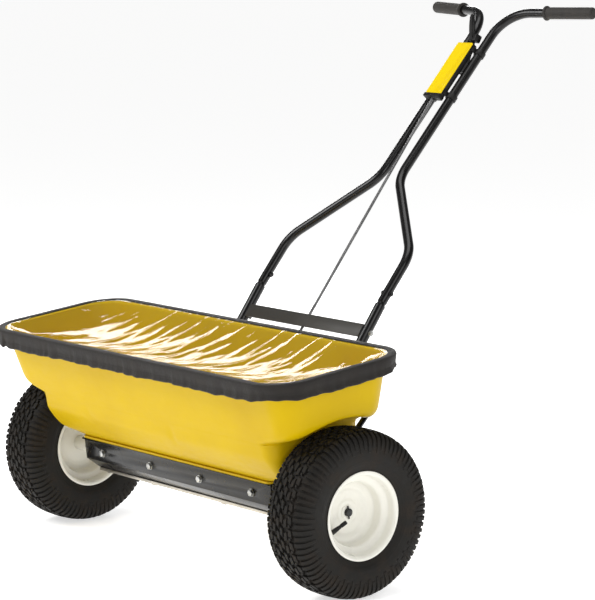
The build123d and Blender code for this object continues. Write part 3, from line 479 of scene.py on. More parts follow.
class Recipe:
    """A Principled material while it is put together."""

    def __init__(self, name: str, **uniform: object) -> None:
        """Start the material with values that are the same all over, by socket name with _ for a space."""
        self.material = bpy.data.materials.new(name)
        self.material.use_nodes = True
        self.nodes = self.material.node_tree.nodes
        self.links = self.material.node_tree.links
        self.shader = self.nodes["Principled BSDF"]
        self.where = self.nodes.new("ShaderNodeTexCoord").outputs["Object"]
        for label, value in uniform.items():
            self.shader.inputs[label.replace("_", " ")].default_value = value

    def add(self, kind: str, settings: dict | None = None, **inputs: object) -> bpy.types.Node:
        """Add a node with options and input values or sockets, and return it."""
        node = self.nodes.new(kind)
        for option, value in (settings or {}).items():
            setattr(node, option, value)
        for label, value in inputs.items():
            target = node.inputs[label.replace("_", " ")]
            if isinstance(value, bpy.types.NodeSocket):
                self.links.new(value, target)
            else:
                target.default_value = value
        return node

    def stretched(self, scale: tuple[float, float, float], turn: float = 0.0) -> Socket:
        """Return the object's own coordinates, turned about X and stretched."""
        return self.add("ShaderNodeMapping", Vector=self.where, Scale=scale, Rotation=(turn, 0, 0)).outputs[0]

    def noise(self, scale: float, detail: float = 3.0, rough: float = 0.55, where: Socket | None = None) -> Socket:
        """Return a cloudy pattern of the given scale."""
        return self.add("ShaderNodeTexNoise", Vector=where or self.where, Scale=scale, Detail=detail,
                        Roughness=rough).outputs["Fac"]

    def grains(self, scale: float, where: Socket | None = None) -> Socket:
        """Return a pattern of round grains."""
        return self.add("ShaderNodeTexVoronoi", {"feature": "SMOOTH_F1"}, Vector=where or self.where,
                        Scale=scale).outputs["Distance"]

    def span(self, value: Socket, low: float, high: float, to_low: float, to_high: float) -> Socket:
        """Return value moved from one range to another, and kept inside it."""
        node = self.add("ShaderNodeMapRange", Value=value)
        for target, number in zip(node.inputs[1:5], (low, high, to_low, to_high)):
            target.default_value = number
        return node.outputs[0]

    def combine(self, operation: str, a: Socket, b: Socket | float) -> Socket:
        """Return a sum of two sockets or a socket and a number."""
        node = self.add("ShaderNodeMath", {"operation": operation})
        self.links.new(a, node.inputs[0])
        if isinstance(b, bpy.types.NodeSocket):
            self.links.new(b, node.inputs[1])
        else:
            node.inputs[1].default_value = b
        return node.outputs[0]

    def tint(self, share: Socket, first: Colour | Socket, second: Colour) -> Socket:
        """Return a colour between two, by share."""
        node = self.add("ShaderNodeMix", {"data_type": "RGBA"})
        self.links.new(share, node.inputs[0])
        for target, colour in ((node.inputs[6], first), (node.inputs[7], second)):
            if isinstance(colour, bpy.types.NodeSocket):
                self.links.new(colour, target)
            else:
                target.default_value = (*colour, 1)
        return node.outputs[2]

    def feed(self, label: str, value: Socket) -> None:
        """Join a socket to one of the shader's inputs."""
        self.links.new(value, self.shader.inputs[label])

    def bump(self, *layers: tuple[Socket, float]) -> None:
        """Raise the surface by each pattern, given its depth in metres."""
        normal = None
        for height, depth in layers:
            node = self.add("ShaderNodeBump", Height=height, Strength=1.0, Distance=depth)
            if normal is not None:
                self.links.new(normal, node.inputs["Normal"])
            normal = node.outputs[0]
        self.feed("Normal", normal)


@dataclass(frozen=True)
class MouldedPlastic:
    """Rotationally moulded or injection moulded plastic with a soft orange peel, and, where asked, a painted shade of
    dull brown on its lower part.
    """

    name: str
    colour: Colour
    shade: Colour
    roughness: float = 0.36
    peel: float = 0.00008
    # How strongly the lower part is tinted brown: painted shade.
    dust_and_painted_shade: float = 0.0

    def make(self) -> Material:
        """Return the material."""
        recipe = Recipe(self.name, Specular_IOR_Level=0.12)
        clouds = recipe.noise(5.0, 4.0)
        colour = recipe.tint(recipe.span(clouds, 0.35, 0.7, 0, 1), self.colour, self.shade)
        scuffs = recipe.noise(38.0, 8.0, 0.7, recipe.stretched((1.0, 1.0, 3.2), 0.4))
        # Painted shade: below about 0.20 m high, fading out by 0.34 m, the yellow is tinted about an eighth of the way
        # towards a dull brown, so the hopper's lower part reads darker.
        if self.dust_and_painted_shade:
            height = recipe.add("ShaderNodeSeparateXYZ", Vector=recipe.where).outputs["Z"]
            low = recipe.span(height, 0.20, 0.34, 1, 0)
            share = recipe.combine("MULTIPLY", low, recipe.span(scuffs, 0.42, 0.7, 0.15, self.dust_and_painted_shade))
            colour = recipe.tint(share, colour, srgb(150, 128, 60))
        recipe.feed("Base Color", colour)
        recipe.feed("Roughness", recipe.span(scuffs, 0.3, 0.75, self.roughness - 0.06, self.roughness + 0.14))
        recipe.bump((recipe.noise(380.0, 2.0), self.peel), (recipe.noise(16.0, 2.0), 9 * self.peel))
        return recipe.material


@dataclass(frozen=True)
class TyreRubber:
    """Black rubber with patches of brown road dirt and a faint grain."""

    name: str = "tyre_rubber"
    colour: Colour = srgb(27, 25, 22)
    # On the tyre this is only the colour of its road dirt, laid in random patches; no shade is painted here.
    dust_and_painted_shade: Colour = srgb(64, 53, 43)

    def make(self) -> Material:
        """Return the material."""
        recipe = Recipe(self.name, Specular_IOR_Level=0.24)
        patches = recipe.noise(26.0, 6.0, 0.65)
        fine = recipe.noise(300.0, 3.0)
        share = recipe.combine("MULTIPLY", recipe.span(patches, 0.46, 0.78, 0, 0.55), recipe.span(fine, 0.3, 0.7, 0.5, 1))
        recipe.feed("Base Color", recipe.tint(share, self.colour, self.dust_and_painted_shade))
        recipe.feed("Roughness", recipe.span(patches, 0.3, 0.7, 0.52, 0.78))
        recipe.bump((recipe.grains(700.0), 0.00008), (recipe.noise(90.0, 3.0), 0.0002))
        return recipe.material


@dataclass(frozen=True)
class Paint:
    """Powder coat or enamel over steel, worn a little and dusty in places."""

    name: str
    colour: Colour
    worn: Colour
    roughness: float
    coat: float = 0.0
    wear: float = 0.5
    peel: float = 0.00005
    specular: float = 0.4

    def make(self) -> Material:
        """Return the material."""
        recipe = Recipe(self.name, Specular_IOR_Level=self.specular, Coat_Weight=self.coat, Coat_Roughness=0.12)
        clouds = recipe.noise(11.0, 5.0)
        scratch = recipe.noise(120.0, 6.0, 0.7, recipe.stretched((1.0, 0.25, 0.25), 0.75))
        share = recipe.combine("MULTIPLY", recipe.span(clouds, 0.45, 0.8, 0.1, 1),
                               recipe.span(scratch, 0.52, 0.78, 0, self.wear))
        recipe.feed("Base Color", recipe.tint(share, self.colour, self.worn))
        recipe.feed("Roughness", recipe.span(clouds, 0.3, 0.7, self.roughness - 0.05, self.roughness + 0.1))
        recipe.bump((recipe.noise(520.0, 2.0), self.peel), (recipe.noise(60.0, 2.0), 3 * self.peel))
        return recipe.material


@dataclass(frozen=True)
class BareMetal:
    """Plated or stainless steel, brushed or crystalline."""

    name: str
    colour: Colour
    shade: Colour
    roughness: float
    brushed: bool = False

    def make(self) -> Material:
        """Return the material."""
        recipe = Recipe(self.name, Metallic=1.0)
        lines = recipe.noise(900.0, 3.0, 0.6, recipe.stretched((0.02, 1.0, 1.0)))
        grains = recipe.grains(260.0)
        pattern = lines if self.brushed else grains
        stains = recipe.noise(22.0, 5.0)
        recipe.feed("Base Color", recipe.tint(recipe.span(stains, 0.35, 0.7, 0, 1), self.colour, self.shade))
        recipe.feed("Roughness", recipe.span(pattern, 0.2, 0.8, self.roughness - 0.06, self.roughness + 0.12))
        recipe.bump((pattern, 0.00003))
        return recipe.material


@dataclass(frozen=True)
class MattRubber:
    """Moulded rubber or nylon with a fine matt grain."""

    name: str
    colour: Colour
    shade: Colour
    roughness: float = 0.6
    grain: float = 900.0

    def make(self) -> Material:
        """Return the material."""
        recipe = Recipe(self.name, Specular_IOR_Level=0.34)
        clouds = recipe.noise(45.0, 4.0)
        recipe.feed("Base Color", recipe.tint(recipe.span(clouds, 0.35, 0.7, 0, 1), self.colour, self.shade))
        recipe.feed("Roughness", recipe.span(clouds, 0.3, 0.7, self.roughness - 0.08, self.roughness + 0.1))
        recipe.bump((recipe.grains(self.grain), 0.00010))
        return recipe.material


@dataclass(frozen=True)
class WovenBand:
    """Coated woven fabric: threads both ways, faded a little in patches."""

    name: str = "band_fabric"
    colour: Colour = srgb(34, 31, 29)
    faded: Colour = srgb(56, 52, 48)
    thread: float = 0.0011

    def make(self) -> Material:
        """Return the material."""
        recipe = Recipe(self.name, Specular_IOR_Level=0.25, Sheen_Weight=0.08, Sheen_Roughness=0.5)
        along = recipe.add("ShaderNodeUVMap", {"uv_map": "UVMap"}).outputs[0]
        axes = recipe.add("ShaderNodeSeparateXYZ", Vector=along)
        waves = []
        for label in ("X", "Y"):
            phase = recipe.combine("MULTIPLY", axes.outputs[label], 2 * math.pi / self.thread)
            waves.append(recipe.combine("SINE", phase, 0.0))
        weave = recipe.combine("MULTIPLY", waves[0], waves[1])
        height = recipe.span(weave, -1, 1, 0, 1)
        clouds = recipe.noise(30.0, 5.0)
        share = recipe.combine("ADD", recipe.span(height, 0, 1, 0, 0.25), recipe.span(clouds, 0.4, 0.75, 0, 0.5))
        recipe.feed("Base Color", recipe.tint(share, self.colour, self.faded))
        recipe.feed("Roughness", recipe.span(clouds, 0.3, 0.7, 0.62, 0.82))
        recipe.bump((height, 0.00018), (recipe.noise(120.0, 3.0), 0.0004))
        return recipe.material


@dataclass(frozen=True)
class ClearVinyl:
    """Thin clear sheet: see-through, with the gloss of its surface laid over by angle."""

    name: str = "clear_vinyl"
    gloss: float = 0.085
    milk: float = 0.02

    def make(self) -> Material:
        """Return the material."""
        recipe = Recipe(self.name, Base_Color=(0.96, 0.96, 0.94, 1), Metallic=1.0, Roughness=0.08)
        recipe.bump((recipe.noise(24.0, 3.0), 0.0006), (recipe.noise(75.0, 2.0, 0.5, recipe.stretched((1, 2.2, 1))), 0.0002))
        facing = recipe.add("ShaderNodeLayerWeight", Blend=0.32).outputs["Fresnel"]
        share = recipe.combine("ADD", recipe.combine("MULTIPLY", facing, self.gloss), self.milk)
        clear = recipe.add("ShaderNodeBsdfTransparent", Color=(0.99, 0.99, 0.975, 1))
        mixed = recipe.add("ShaderNodeMixShader")
        recipe.links.new(share, mixed.inputs[0])
        recipe.links.new(clear.outputs[0], mixed.inputs[1])
        recipe.links.new(recipe.shader.outputs[0], mixed.inputs[2])
        recipe.links.new(mixed.outputs[0], recipe.nodes["Material Output"].inputs["Surface"])
        return recipe.material


class Finishes:
    """Every material of the spreader, each made once."""

    def __init__(self) -> None:
        """Make the materials."""
        # The hopper's lower part gets a painted brown shade.
        self.hopper = MouldedPlastic("hopper_yellow", srgb(214, 180, 0), srgb(204, 168, 0), dust_and_painted_shade=0.12).make()
        self.inner = self.hopper
        self.lid = MouldedPlastic("console_yellow", srgb(232, 200, 6), srgb(224, 190, 4), 0.36, 0.00004).make()
        self.vinyl = ClearVinyl().make()
        self.band = WovenBand().make()
        self.thread = MattRubber("band_thread", srgb(30, 28, 27), srgb(48, 46, 43), 0.7).make()
        self.frame = Paint("frame_black", srgb(9, 8, 8), srgb(34, 32, 30), 0.24, coat=0.15, wear=0.3).make()
        self.plate = Paint("plate_grey", srgb(58, 56, 52), srgb(96, 92, 86), 0.42, wear=0.6).make()
        self.rim = Paint("rim_white", srgb(240, 238, 228), srgb(196, 190, 172), 0.3, coat=0.35, wear=0.35).make()
        self.tyre = TyreRubber().make()
        self.grip = MattRubber("grip_rubber", srgb(44, 42, 40), srgb(58, 55, 52), 0.6).make()
        self.nylon = MattRubber("black_nylon", srgb(14, 13, 13), srgb(26, 25, 24), 0.45, 1400.0).make()
        self.stainless = BareMetal("stainless", srgb(214, 208, 196), srgb(178, 172, 160), 0.3, brushed=True).make()
        self.zinc = BareMetal("zinc", srgb(206, 206, 204), srgb(166, 166, 162), 0.34).make()
        self.rod = BareMetal("rod_steel", srgb(150, 150, 150), srgb(110, 110, 110), 0.35, brushed=True).make()


# ---------------------------------------------------------------- wheels
@dataclass
class Wheel:
    """A pneumatic turf tyre on a pressed steel rim, about the X axis of the row."""

    side: Side
    finishes: Finishes
    sectors: int = 40
    tread_depth: float = 0.0046
    crown_radius: float = 0.1604
    block_edge: float = 0.0008
    carcass_segments: int = 120
    outline: tuple[Pair, ...] = (
        (0.0, 0.1604), (0.015, 0.1602), (0.028, 0.1592), (0.038, 0.1572), (0.0455, 0.1538), (0.0505, 0.1485),
        (0.0535, 0.1415), (0.0552, 0.1330), (0.0558, 0.1240), (0.0552, 0.1140), (0.0535, 0.1045),
        (0.0508, 0.0965), (0.0486, 0.0905), (0.0468, 0.0862), (0.0455, 0.0815))
    rim_outline: tuple[Pair, ...] = (
        (0.0500, 0.0862), (0.0500, 0.0840), (0.0492, 0.0812), (0.0470, 0.0790), (0.0440, 0.0778),
        (0.0345, 0.0768), (0.0312, 0.0752), (0.0292, 0.0712), (0.0278, 0.0668), (0.0256, 0.0641),
        (0.0220, 0.0628), (0.0095, 0.0616), (0.0064, 0.0602), (0.0046, 0.0572), (0.0040, 0.0530),
        (0.0034, 0.0490), (0.0018, 0.0455), (0.0000, 0.0425), (-0.0010, 0.0385), (-0.0011, 0.0290),
        (-0.0005, 0.0252), (0.0008, 0.0226), (0.0010, 0.0200), (0.0010, 0.0150))
    hub_bore: float = 0.0150
    sheet: float = 0.0028

    def __post_init__(self) -> None:
        """Take the wheel's centre from its CAD tyre."""
        low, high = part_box(f"tyre_{self.side.word}")
        self.centre = (low + high) / 2
        self.body = Body.DRIVE_AXLE if self.side is Side.RIGHT else Body.FREE_WHEEL
        flip = 1 if self.side is Side.RIGHT else -1
        self.place = Matrix.Translation(self.centre) @ Matrix.Rotation(0.0 if flip > 0 else math.pi, 4, "Z")
        self.line = smoothed(list(self.outline), 5)

    def surface(self, reach: float, rise: float) -> Pair:
        """Return (along, radius) at a distance round the outline from the crown, raised off it."""
        left = abs(reach)
        for (a, r), (b, s) in zip(self.line, self.line[1:]):
            run = math.hypot(b - a, s - r)
            if left <= run:
                break
            left -= run
        share = min(left / run, 1.0)
        along, radius = a + (b - a) * share, r + (s - r) * share
        out = Vector((-(s - r), b - a)).normalized()
        sign = 1 if reach >= 0 else -1
        return sign * (along + out.x * rise), radius + out.y * rise

    def block(self, verts: list, faces: list, start: Pair, end: Pair, width: float, steps: int, rise: Pair) -> None:
        """Add one tread block that runs from start to end, both (reach from the crown, distance round).

        Args:
            verts: Points so far, added to.
            faces: Faces so far, added to.
            start: One end of its middle line.
            end: The other end.
            width: Its width round the tyre.
            steps: How many lengths it is made of, so that it wraps the shoulder.
            rise: Its height at start and at end.
        """
        run = (end[0] - start[0]) or 1e-6
        trim = self.block_edge * (1 if run > 0 else -1)
        first = len(verts)
        for step in range(steps + 1):
            share = step / steps
            tall = rise[0] + (rise[1] - rise[0]) * share
            for level, (lift, inset) in enumerate(((-0.0012, 0.0), (tall - self.block_edge, 0.0),
                                                   (tall, self.block_edge))):
                reach = start[0] + run * share + (trim if step == 0 else -trim if step == steps else 0) * (level == 2)
                about = start[1] + (end[1] - start[1]) * share
                for sign in (-1, 1):
                    along, radius = self.surface(reach, lift)
                    turn = (about + sign * (width / 2 - inset)) / (self.crown_radius + self.tread_depth)
                    verts.append((along, radius * math.cos(turn), radius * math.sin(turn)))
        for step in range(steps):
            here, there = first + 6 * step, first + 6 * step + 6
            for a, b in ((0, 2), (2, 4), (4, 5), (5, 3), (3, 1)):
                faces.append((here + a, here + b, there + b, there + a))
        for row in (first, first + 6 * steps):
            faces.append(tuple(row + k for k in (0, 2, 4, 5, 3, 1)))

    def tread_sector(self) -> Piece:
        """Return one pitch of tread: two staggered blocks in each row and a long and a short bar a side."""
        pitch = 2 * math.pi * (self.crown_radius + self.tread_depth) / self.sectors
        verts, faces = [], []
        tall = (self.tread_depth, self.tread_depth)
        for sign in (-1, 1):
            lead = 0.5 * pitch * (sign > 0)
            self.block(verts, faces, (sign * 0.0008, lead), (sign * 0.0092, lead + sign * 0.0042), 0.0165, 1, tall)
            self.block(verts, faces, (sign * 0.0118, lead + 0.45 * pitch), (sign * 0.0208, lead + 0.45 * pitch - 0.0036),
                       0.0160, 1, tall)
            self.block(verts, faces, (sign * 0.0234, lead + 0.0010), (sign * 0.0330, lead + 0.0052), 0.0150, 1, tall)
            self.block(verts, faces, (sign * 0.0240, lead + 0.5 * pitch), (sign * 0.0300, lead + 0.5 * pitch + 0.0020),
                       0.0052, 1, tall)
            for half in (0, 1):
                near, far = (0.0352, 0.0800) if half else (0.0384, 0.0735)
                spot = half * pitch / 2 + 0.0004
                self.block(verts, faces, (sign * near, spot), (sign * far, spot), 0.0082, 6,
                           (self.tread_depth, 0.0009))
        mesh = bpy.data.meshes.new("tread_sector")
        mesh.from_pydata(verts, [], faces)
        tidy_mesh(mesh, 30.0)
        return new_piece("tread_sector", mesh)

    def build_tyre(self, rings: Tree) -> Piece:
        """Build the carcass and its tread as one piece."""
        sector = self.tread_sector()
        tread = rings.grow(sector, "tread", self.finishes.tyre, Count=self.sectors)
        inner = [(0.0420, 0.0800), (0.0405, 0.0880), (0.0470, 0.1120), (0.0480, 0.1330), (0.0400, 0.1480),
                 (0.0, 0.1550)]
        ridges = []
        for along, radius in self.line:
            lift = 0.0007 * sum(math.exp(-((radius - at) / 0.0012) ** 2) for at in (0.1010, 0.1055, 0.1335))
            ridges.append((along + lift, radius))
        half = [*ridges, *smoothed([(0.0455, 0.0815), (0.0430, 0.0802), *inner[:1]], 2), *smoothed(inner, 4)]
        profile = half + [(-a, r) for a, r in reversed(half)]
        verts, faces = skin(lathe(profile, self.carcass_segments), looped=True)
        carcass = mesh_piece(f"tyre_{self.side.word}_moulded", verts, faces)
        work = bmesh.new()
        work.from_mesh(carcass.data)
        work.from_mesh(tread.data)
        work.to_mesh(carcass.data)
        work.free()
        bpy.data.objects.remove(tread)
        carcass.data.transform(self.place)
        carcass.data.update()
        return dress(carcass, self.finishes.tyre, "tyre_rubber", self.body, f"tyre_{self.side.word}")

    def build_rim(self) -> Piece:
        """Build the pressed rim: a stepped barrel with rolled lips and a dished disc."""
        face = smoothed(list(self.rim_outline), 3)
        back = [(-0.0030, self.hub_bore), (-0.0040, 0.0200), (-0.0044, 0.0300), (-0.0042, 0.0390),
                (-0.0028, 0.0440), (-0.0008, 0.0490), (0.0004, 0.0540), (-0.0002, 0.0580), (-0.0040, 0.0608),
                (-0.0095, 0.0616)]
        barrel = [(-a, r) for a, r in reversed(self.rim_outline[:11])]
        lip = [(0.0494, 0.0870), (0.0482, 0.0868), (0.0472, 0.0850), (0.0465, 0.0820), (0.0440, 0.0806),
               (0.0345, 0.0797), (0.0318, 0.0785), (0.0245, 0.0662), (0.0220, 0.0652)]
        profile = face + smoothed(back, 2) + smoothed(barrel, 3) + [(-a, r) for a, r in lip] + lip[::-1]
        verts, faces = skin(lathe(profile, 128), looped=True)
        rim = mesh_piece(f"rim_{self.side.word}_pressed", verts, faces, self.place)
        return dress(rim, self.finishes.rim, "rim_paint", self.body, f"rim_{self.side.word}")

    def build_stem(self) -> Piece:
        """Build the rubber valve stem with its tapered foot, a narrow neck and its screwed cap."""
        points = max(solids_of(f"valve_stem_{self.side.word}"), key=len)
        middle = sum(points, Vector()) / len(points)
        stretch = max(points, key=lambda p: (p - middle).length)
        ends = sorted((middle - (stretch - middle) * 0.98, stretch), key=lambda p: p.y)
        along = (ends[1] - ends[0]).normalized()
        length = (ends[1] - ends[0]).length
        profile = [(0.0, 0.0), (0.0, 0.0049), (0.10, 0.0051), (0.30, 0.0047), (0.52, 0.0038), (0.60, 0.0036),
                   (0.61, 0.0032), (0.64, 0.0032), (0.65, 0.0040), (0.95, 0.0040), (1.0, 0.0032), (1.0, 0.0)]
        verts, faces = skin(lathe([(a * length, r) for a, r in profile], 24))
        turn = Vector((1, 0, 0)).rotation_difference(along).to_matrix().to_4x4()
        stem = mesh_piece(f"valve_stem_{self.side.word}_capped", verts, faces, Matrix.Translation(ends[0]) @ turn)
        return dress(stem, self.finishes.nylon, "tyre_rubber", self.body, f"valve_stem_{self.side.word}")

    def build(self, rings: Tree) -> None:
        """Build the whole wheel."""
        self.build_tyre(rings)
        self.build_rim()
        self.build_stem()


# ---------------------------------------------------------------- hopper
@dataclass
class Hopper:
    """The moulded hopper: a wide box whose shoulders pass over the wheels, on a narrower curved chute."""

    finishes: Finishes
    middle_y: float = -0.008
    wall: float = 0.005
    rim_height: float = 0.287
    rim_half_length: float = 0.489
    rim_half_depth: float = 0.150
    lip: float = 0.014
    lip_thickness: float = 0.004
    lip_drop: float = 0.012
    arch_radius: float = 0.184
    arch_soft: float = 0.007
    arch_foot: float = 0.150
    chute_half_length: float = 0.397
    throat_height: float = 0.051
    throat_half_length: float = 0.318
    throat_half_depth: float = 0.061
    skirt_bottom: float = 0.011
    corner_round: float = 0.062
    shoulder_corner: float = 0.038
    counts: tuple[int, int, int] = (110, 36, 12)
    outline: tuple[tuple[float, float, float], ...] = (
        (0.4882, 0.1485, 0.281), (0.4790, 0.1384, 0.240), (0.4710, 0.1279, 0.198), (0.4670, 0.1240, 0.182),
        (0.4600, 0.1216, 0.172), (0.4480, 0.1198, 0.165), (0.4320, 0.1185, 0.160), (0.4120, 0.1172, 0.155),
        (0.4015, 0.1163, 0.1515), (0.3978, 0.1155, 0.147), (0.3970, 0.1140, 0.140), (0.3970, 0.1100, 0.118),
        (0.3960, 0.1000, 0.100), (0.3930, 0.0900, 0.085), (0.3870, 0.0840, 0.076), (0.3740, 0.0780, 0.069),
        (0.3520, 0.0720, 0.064), (0.3300, 0.0660, 0.058), (0.3205, 0.0632, 0.055))
    dents: tuple[Pair, ...] = ((-0.222, 0.118), (0.072, 0.122))
    dent_depth: float = 0.0022

    def corner(self, height: float) -> float:
        """The corner radius of the hopper's section at a height."""
        if height >= self.arch_foot:
            share = (height - self.arch_foot) / (self.rim_height - self.arch_foot)
            return self.shoulder_corner + (self.corner_round - self.shoulder_corner) * share
        return 0.014 + 0.2 * (height - self.throat_height)

    def wall_rings(self, inset: float) -> list[list[Vector]]:
        """Return level rings down one skin of the wall, from just under the rim to the throat."""
        rings = []
        for half_length, half_depth, height in smoothed(list(self.outline), 4):
            lift = inset * (1 - smoothstep(0.198, 0.235, height))
            corner = max(self.corner(height) - inset, 0.008)
            rings.append(self.ring(half_length - inset, half_depth - inset, height + lift, corner, inset))
        return rings

    def shaped(self, x: float, y: float, z: float, inset: float) -> Vector:
        """Return a point of the wall raised over the wheel, with its dents and its slight warp.

        Args:
            x: Along the hopper.
            y: Across it, from its middle.
            z: Its height in the level frame.
            inset: How far inside the outer skin it lies.
        """
        side = 1 if y > 0 else -1
        radius, about = self.arch_radius + inset, y + self.middle_y
        foot = self.chute_half_length - inset
        if abs(x) > foot and abs(about) < radius:
            over = math.sqrt(radius * radius - about * about) - z
            soft = self.arch_soft
            rise = over if over > soft else (over + soft) ** 2 / (4 * soft) if over > -soft else 0.0
            z += rise * smoothstep(foot, foot + 0.004, abs(x))
        dent = sum(self.dent_depth * math.exp(-((x - at_x) / 0.010) ** 2 - ((z - at_z) / 0.020) ** 2)
                   for at_x, at_z in self.dents)
        warp = 0.0011 * noise.noise(Vector((x * 5.5, side * 4.0, z * 7.0)))
        free = smoothstep(self.rim_height - 0.004, self.rim_height - 0.05, z) * smoothstep(0.055, 0.085, z)
        y -= side * (dent - warp * free)
        return Vector((x, y + self.middle_y, z))

    def ring(self, half_length: float, half_depth: float, height: float, corner: float,
             inset: float = 0.0) -> list[Vector]:
        """Return one level ring of the hopper."""
        return [self.shaped(x, y, height, inset)
                for x, y in rounded_ring(half_length, half_depth, corner, self.counts)]

    def build(self) -> Piece:
        """Build the hopper's two skins, its turned-down lip and its throat skirt as one closed shell."""
        rings = self.wall_rings(self.wall)[::-1]
        top, out, thick = self.rim_height, self.lip, self.lip_thickness
        for grow, height in ((-self.wall, top - 0.0015), (-self.wall + 0.0015, top), (out - 0.0030, top),
                             (out - 0.0009, top - 0.0009), (out, top - 0.0030), (out, top - self.lip_drop),
                             (out - thick, top - self.lip_drop), (out - thick, top - thick - 0.003),
                             (out - thick - 0.003, top - thick), (0.003, top - thick), (0.0, top - thick - 0.002)):
            rings.append(self.ring(self.rim_half_length + grow, self.rim_half_depth + grow, height,
                                   self.corner_round + grow))
        rings += self.wall_rings(0.0)
        pad, skirt = self.throat_half_depth + 0.008, self.throat_half_depth - 0.002
        for half_length, depth, height in (
                (self.throat_half_length + 0.003, pad, self.throat_height + 0.004),
                (self.throat_half_length + 0.003, pad, self.throat_height),
                (self.throat_half_length, skirt, self.throat_height),
                (self.throat_half_length, skirt, self.skirt_bottom),
                (self.throat_half_length - self.wall, skirt - self.wall, self.skirt_bottom),
                (self.throat_half_length - self.wall, skirt - self.wall, self.throat_height + 0.006)):
            rings.append(self.ring(half_length, depth, height, 0.010))
        verts, faces = skin(rings, looped=True)
        hopper = mesh_piece("hopper_moulded", verts, faces, PARKED, crease=34.0)
        return dress(hopper, self.finishes.hopper, "hopper_plastic", Body.CHASSIS, "hopper")


# ---------------------------------------------------------------- cover
@dataclass
class Cover:
    """The clear vinyl cover: a slack sheet over the hopper with an elastic band sewn round its edge."""

    hopper: Hopper
    finishes: Finishes
    cell: float = 0.0075
    film: float = 0.0006
    lift: float = 0.0012
    slack: float = 0.016
    sag: float = 0.022
    band_height: float = 0.033
    band_top: float = 0.0026
    spacing: float = 0.0042
    corner_lift: float = 0.003

    def __post_init__(self) -> None:
        """Take the edge line from the hopper's lip."""
        rim = self.hopper
        self.half_length = rim.rim_half_length + rim.lip
        self.half_depth = rim.rim_half_depth + rim.lip
        self.round = rim.corner_round + rim.lip
        self.top = rim.rim_height + self.lift

    def in_lip(self, x: float, y: float) -> Pair:
        """Return a point of the straight-sided grid moved into the rounded rectangle of the lip."""
        flat_x, flat_y = self.half_length - self.round, self.half_depth - self.round
        over_x, over_y = (abs(x) - flat_x) / self.round, (abs(y) - flat_y) / self.round
        if over_x > 0 and over_y > 0:
            x = math.copysign(flat_x + self.round * over_x * math.sqrt(1 - over_y * over_y / 2), x)
            y = math.copysign(flat_y + self.round * over_y * math.sqrt(1 - over_x * over_x / 2), y)
        return x, y

    def edge_distance(self, x: float, y: float) -> float:
        """Return how far inside the lip's edge a point lies."""
        flat_x, flat_y = self.half_length - self.round, self.half_depth - self.round
        over = math.hypot(max(abs(x) - flat_x, 0), max(abs(y) - flat_y, 0))
        return self.round - max(over, abs(x) - flat_x, abs(y) - flat_y)

    def slack_height(self, x: float, y: float) -> float:
        """Return how far the sheet hangs under its edge before it is simulated: a dish with soft puckers."""
        inside = smoothstep(0.014, 0.11, self.edge_distance(x, y))
        fold = noise.noise(Vector((x * 9 + y * 4, y * 13 - x * 5, 0.4)))
        pucker = noise.noise(Vector((x * 30, y * 22, 7.1))) * smoothstep(0.012, 0.03, self.edge_distance(x, y))
        return -self.sag * inside + 0.0065 * fold * inside + 0.0022 * pucker

    def flat_grid(self) -> tuple[list, list, set[int]]:
        """Return the sheet's points and faces before it hangs, and the points that the band holds."""
        columns, rows = (round(2 * half / self.cell) for half in (self.half_length, self.half_depth))
        verts, held = [], set()
        for row in range(rows + 1):
            for column in range(columns + 1):
                x, y = self.in_lip(self.half_length * (2 * column / columns - 1),
                                   self.half_depth * (2 * row / rows - 1))
                inside = self.edge_distance(x, y)
                if inside < 0.017:
                    held.add(len(verts))
                    shift = 0.0030 * noise.noise(Vector((x * 21, y * 21, 2.0)))
                    x, y = x + shift * (abs(y) > self.half_depth - 0.05), y + shift * (abs(x) > self.half_length - 0.05)
                    verts.append((x, y + self.hopper.middle_y, self.top))
                else:
                    verts.append((x, y + self.hopper.middle_y, self.top + self.slack_height(x, y)))
        wide = columns + 1
        faces = [(r * wide + c, r * wide + c + 1, (r + 1) * wide + c + 1, (r + 1) * wide + c)
                 for r in range(rows) for c in range(columns)]
        return verts, faces, held

    def hang(self, sheet: Piece, held: set[int]) -> None:
        """Let the slack sheet settle under its own weight, held along the band."""
        group = sheet.vertex_groups.new(name="held")
        group.add(list(held), 1.0, "REPLACE")
        cloth = sheet.modifiers.new("hang", "CLOTH")
        settings = cloth.settings
        settings.quality = 6
        settings.mass = 0.12
        settings.tension_stiffness = 28.0
        settings.compression_stiffness = 28.0
        settings.shear_stiffness = 14.0
        settings.bending_stiffness = 0.9
        settings.air_damping = 2.0
        settings.vertex_group_mass = "held"
        settings.pin_stiffness = 1.0
        settings.shrink_min = -self.slack
        settings.effector_weights.gravity = 0.55
        cloth.collision_settings.use_self_collision = False
        scene = bpy.context.scene
        for step in range(1, 36):
            scene.frame_set(step)
        evaluated = sheet.evaluated_get(bpy.context.evaluated_depsgraph_get())
        places = [v.co.copy() for v in evaluated.data.vertices]
        sheet.modifiers.remove(cloth)
        scene.frame_set(1)
        for vertex, place in zip(sheet.data.vertices, places):
            vertex.co = place

    def build_sheet(self) -> Piece:
        """Build the clear sheet, hung, smoothed and given its thickness."""
        verts, faces, held = self.flat_grid()
        mesh = bpy.data.meshes.new("clear_sheet")
        mesh.from_pydata(verts, [], faces)
        mesh.transform(PARKED)
        sheet = new_piece("clear_sheet", mesh)
        self.hang(sheet, held)
        mesh.shade_smooth()
        for kind, options in (("SUBSURF", {"levels": 1, "render_levels": 1}),
                              ("SOLIDIFY", {"thickness": self.film, "offset": 0.0})):
            modifier = sheet.modifiers.new(kind.lower(), kind)
            for option, value in options.items():
                setattr(modifier, option, value)
        baked = bpy.data.meshes.new_from_object(sheet.evaluated_get(bpy.context.evaluated_depsgraph_get()))
        sheet.modifiers.clear()
        sheet.vertex_groups.clear()
        sheet.data = baked
        return dress(sheet, self.finishes.vinyl, "clear_vinyl", Body.COVER, "cover_sheet")

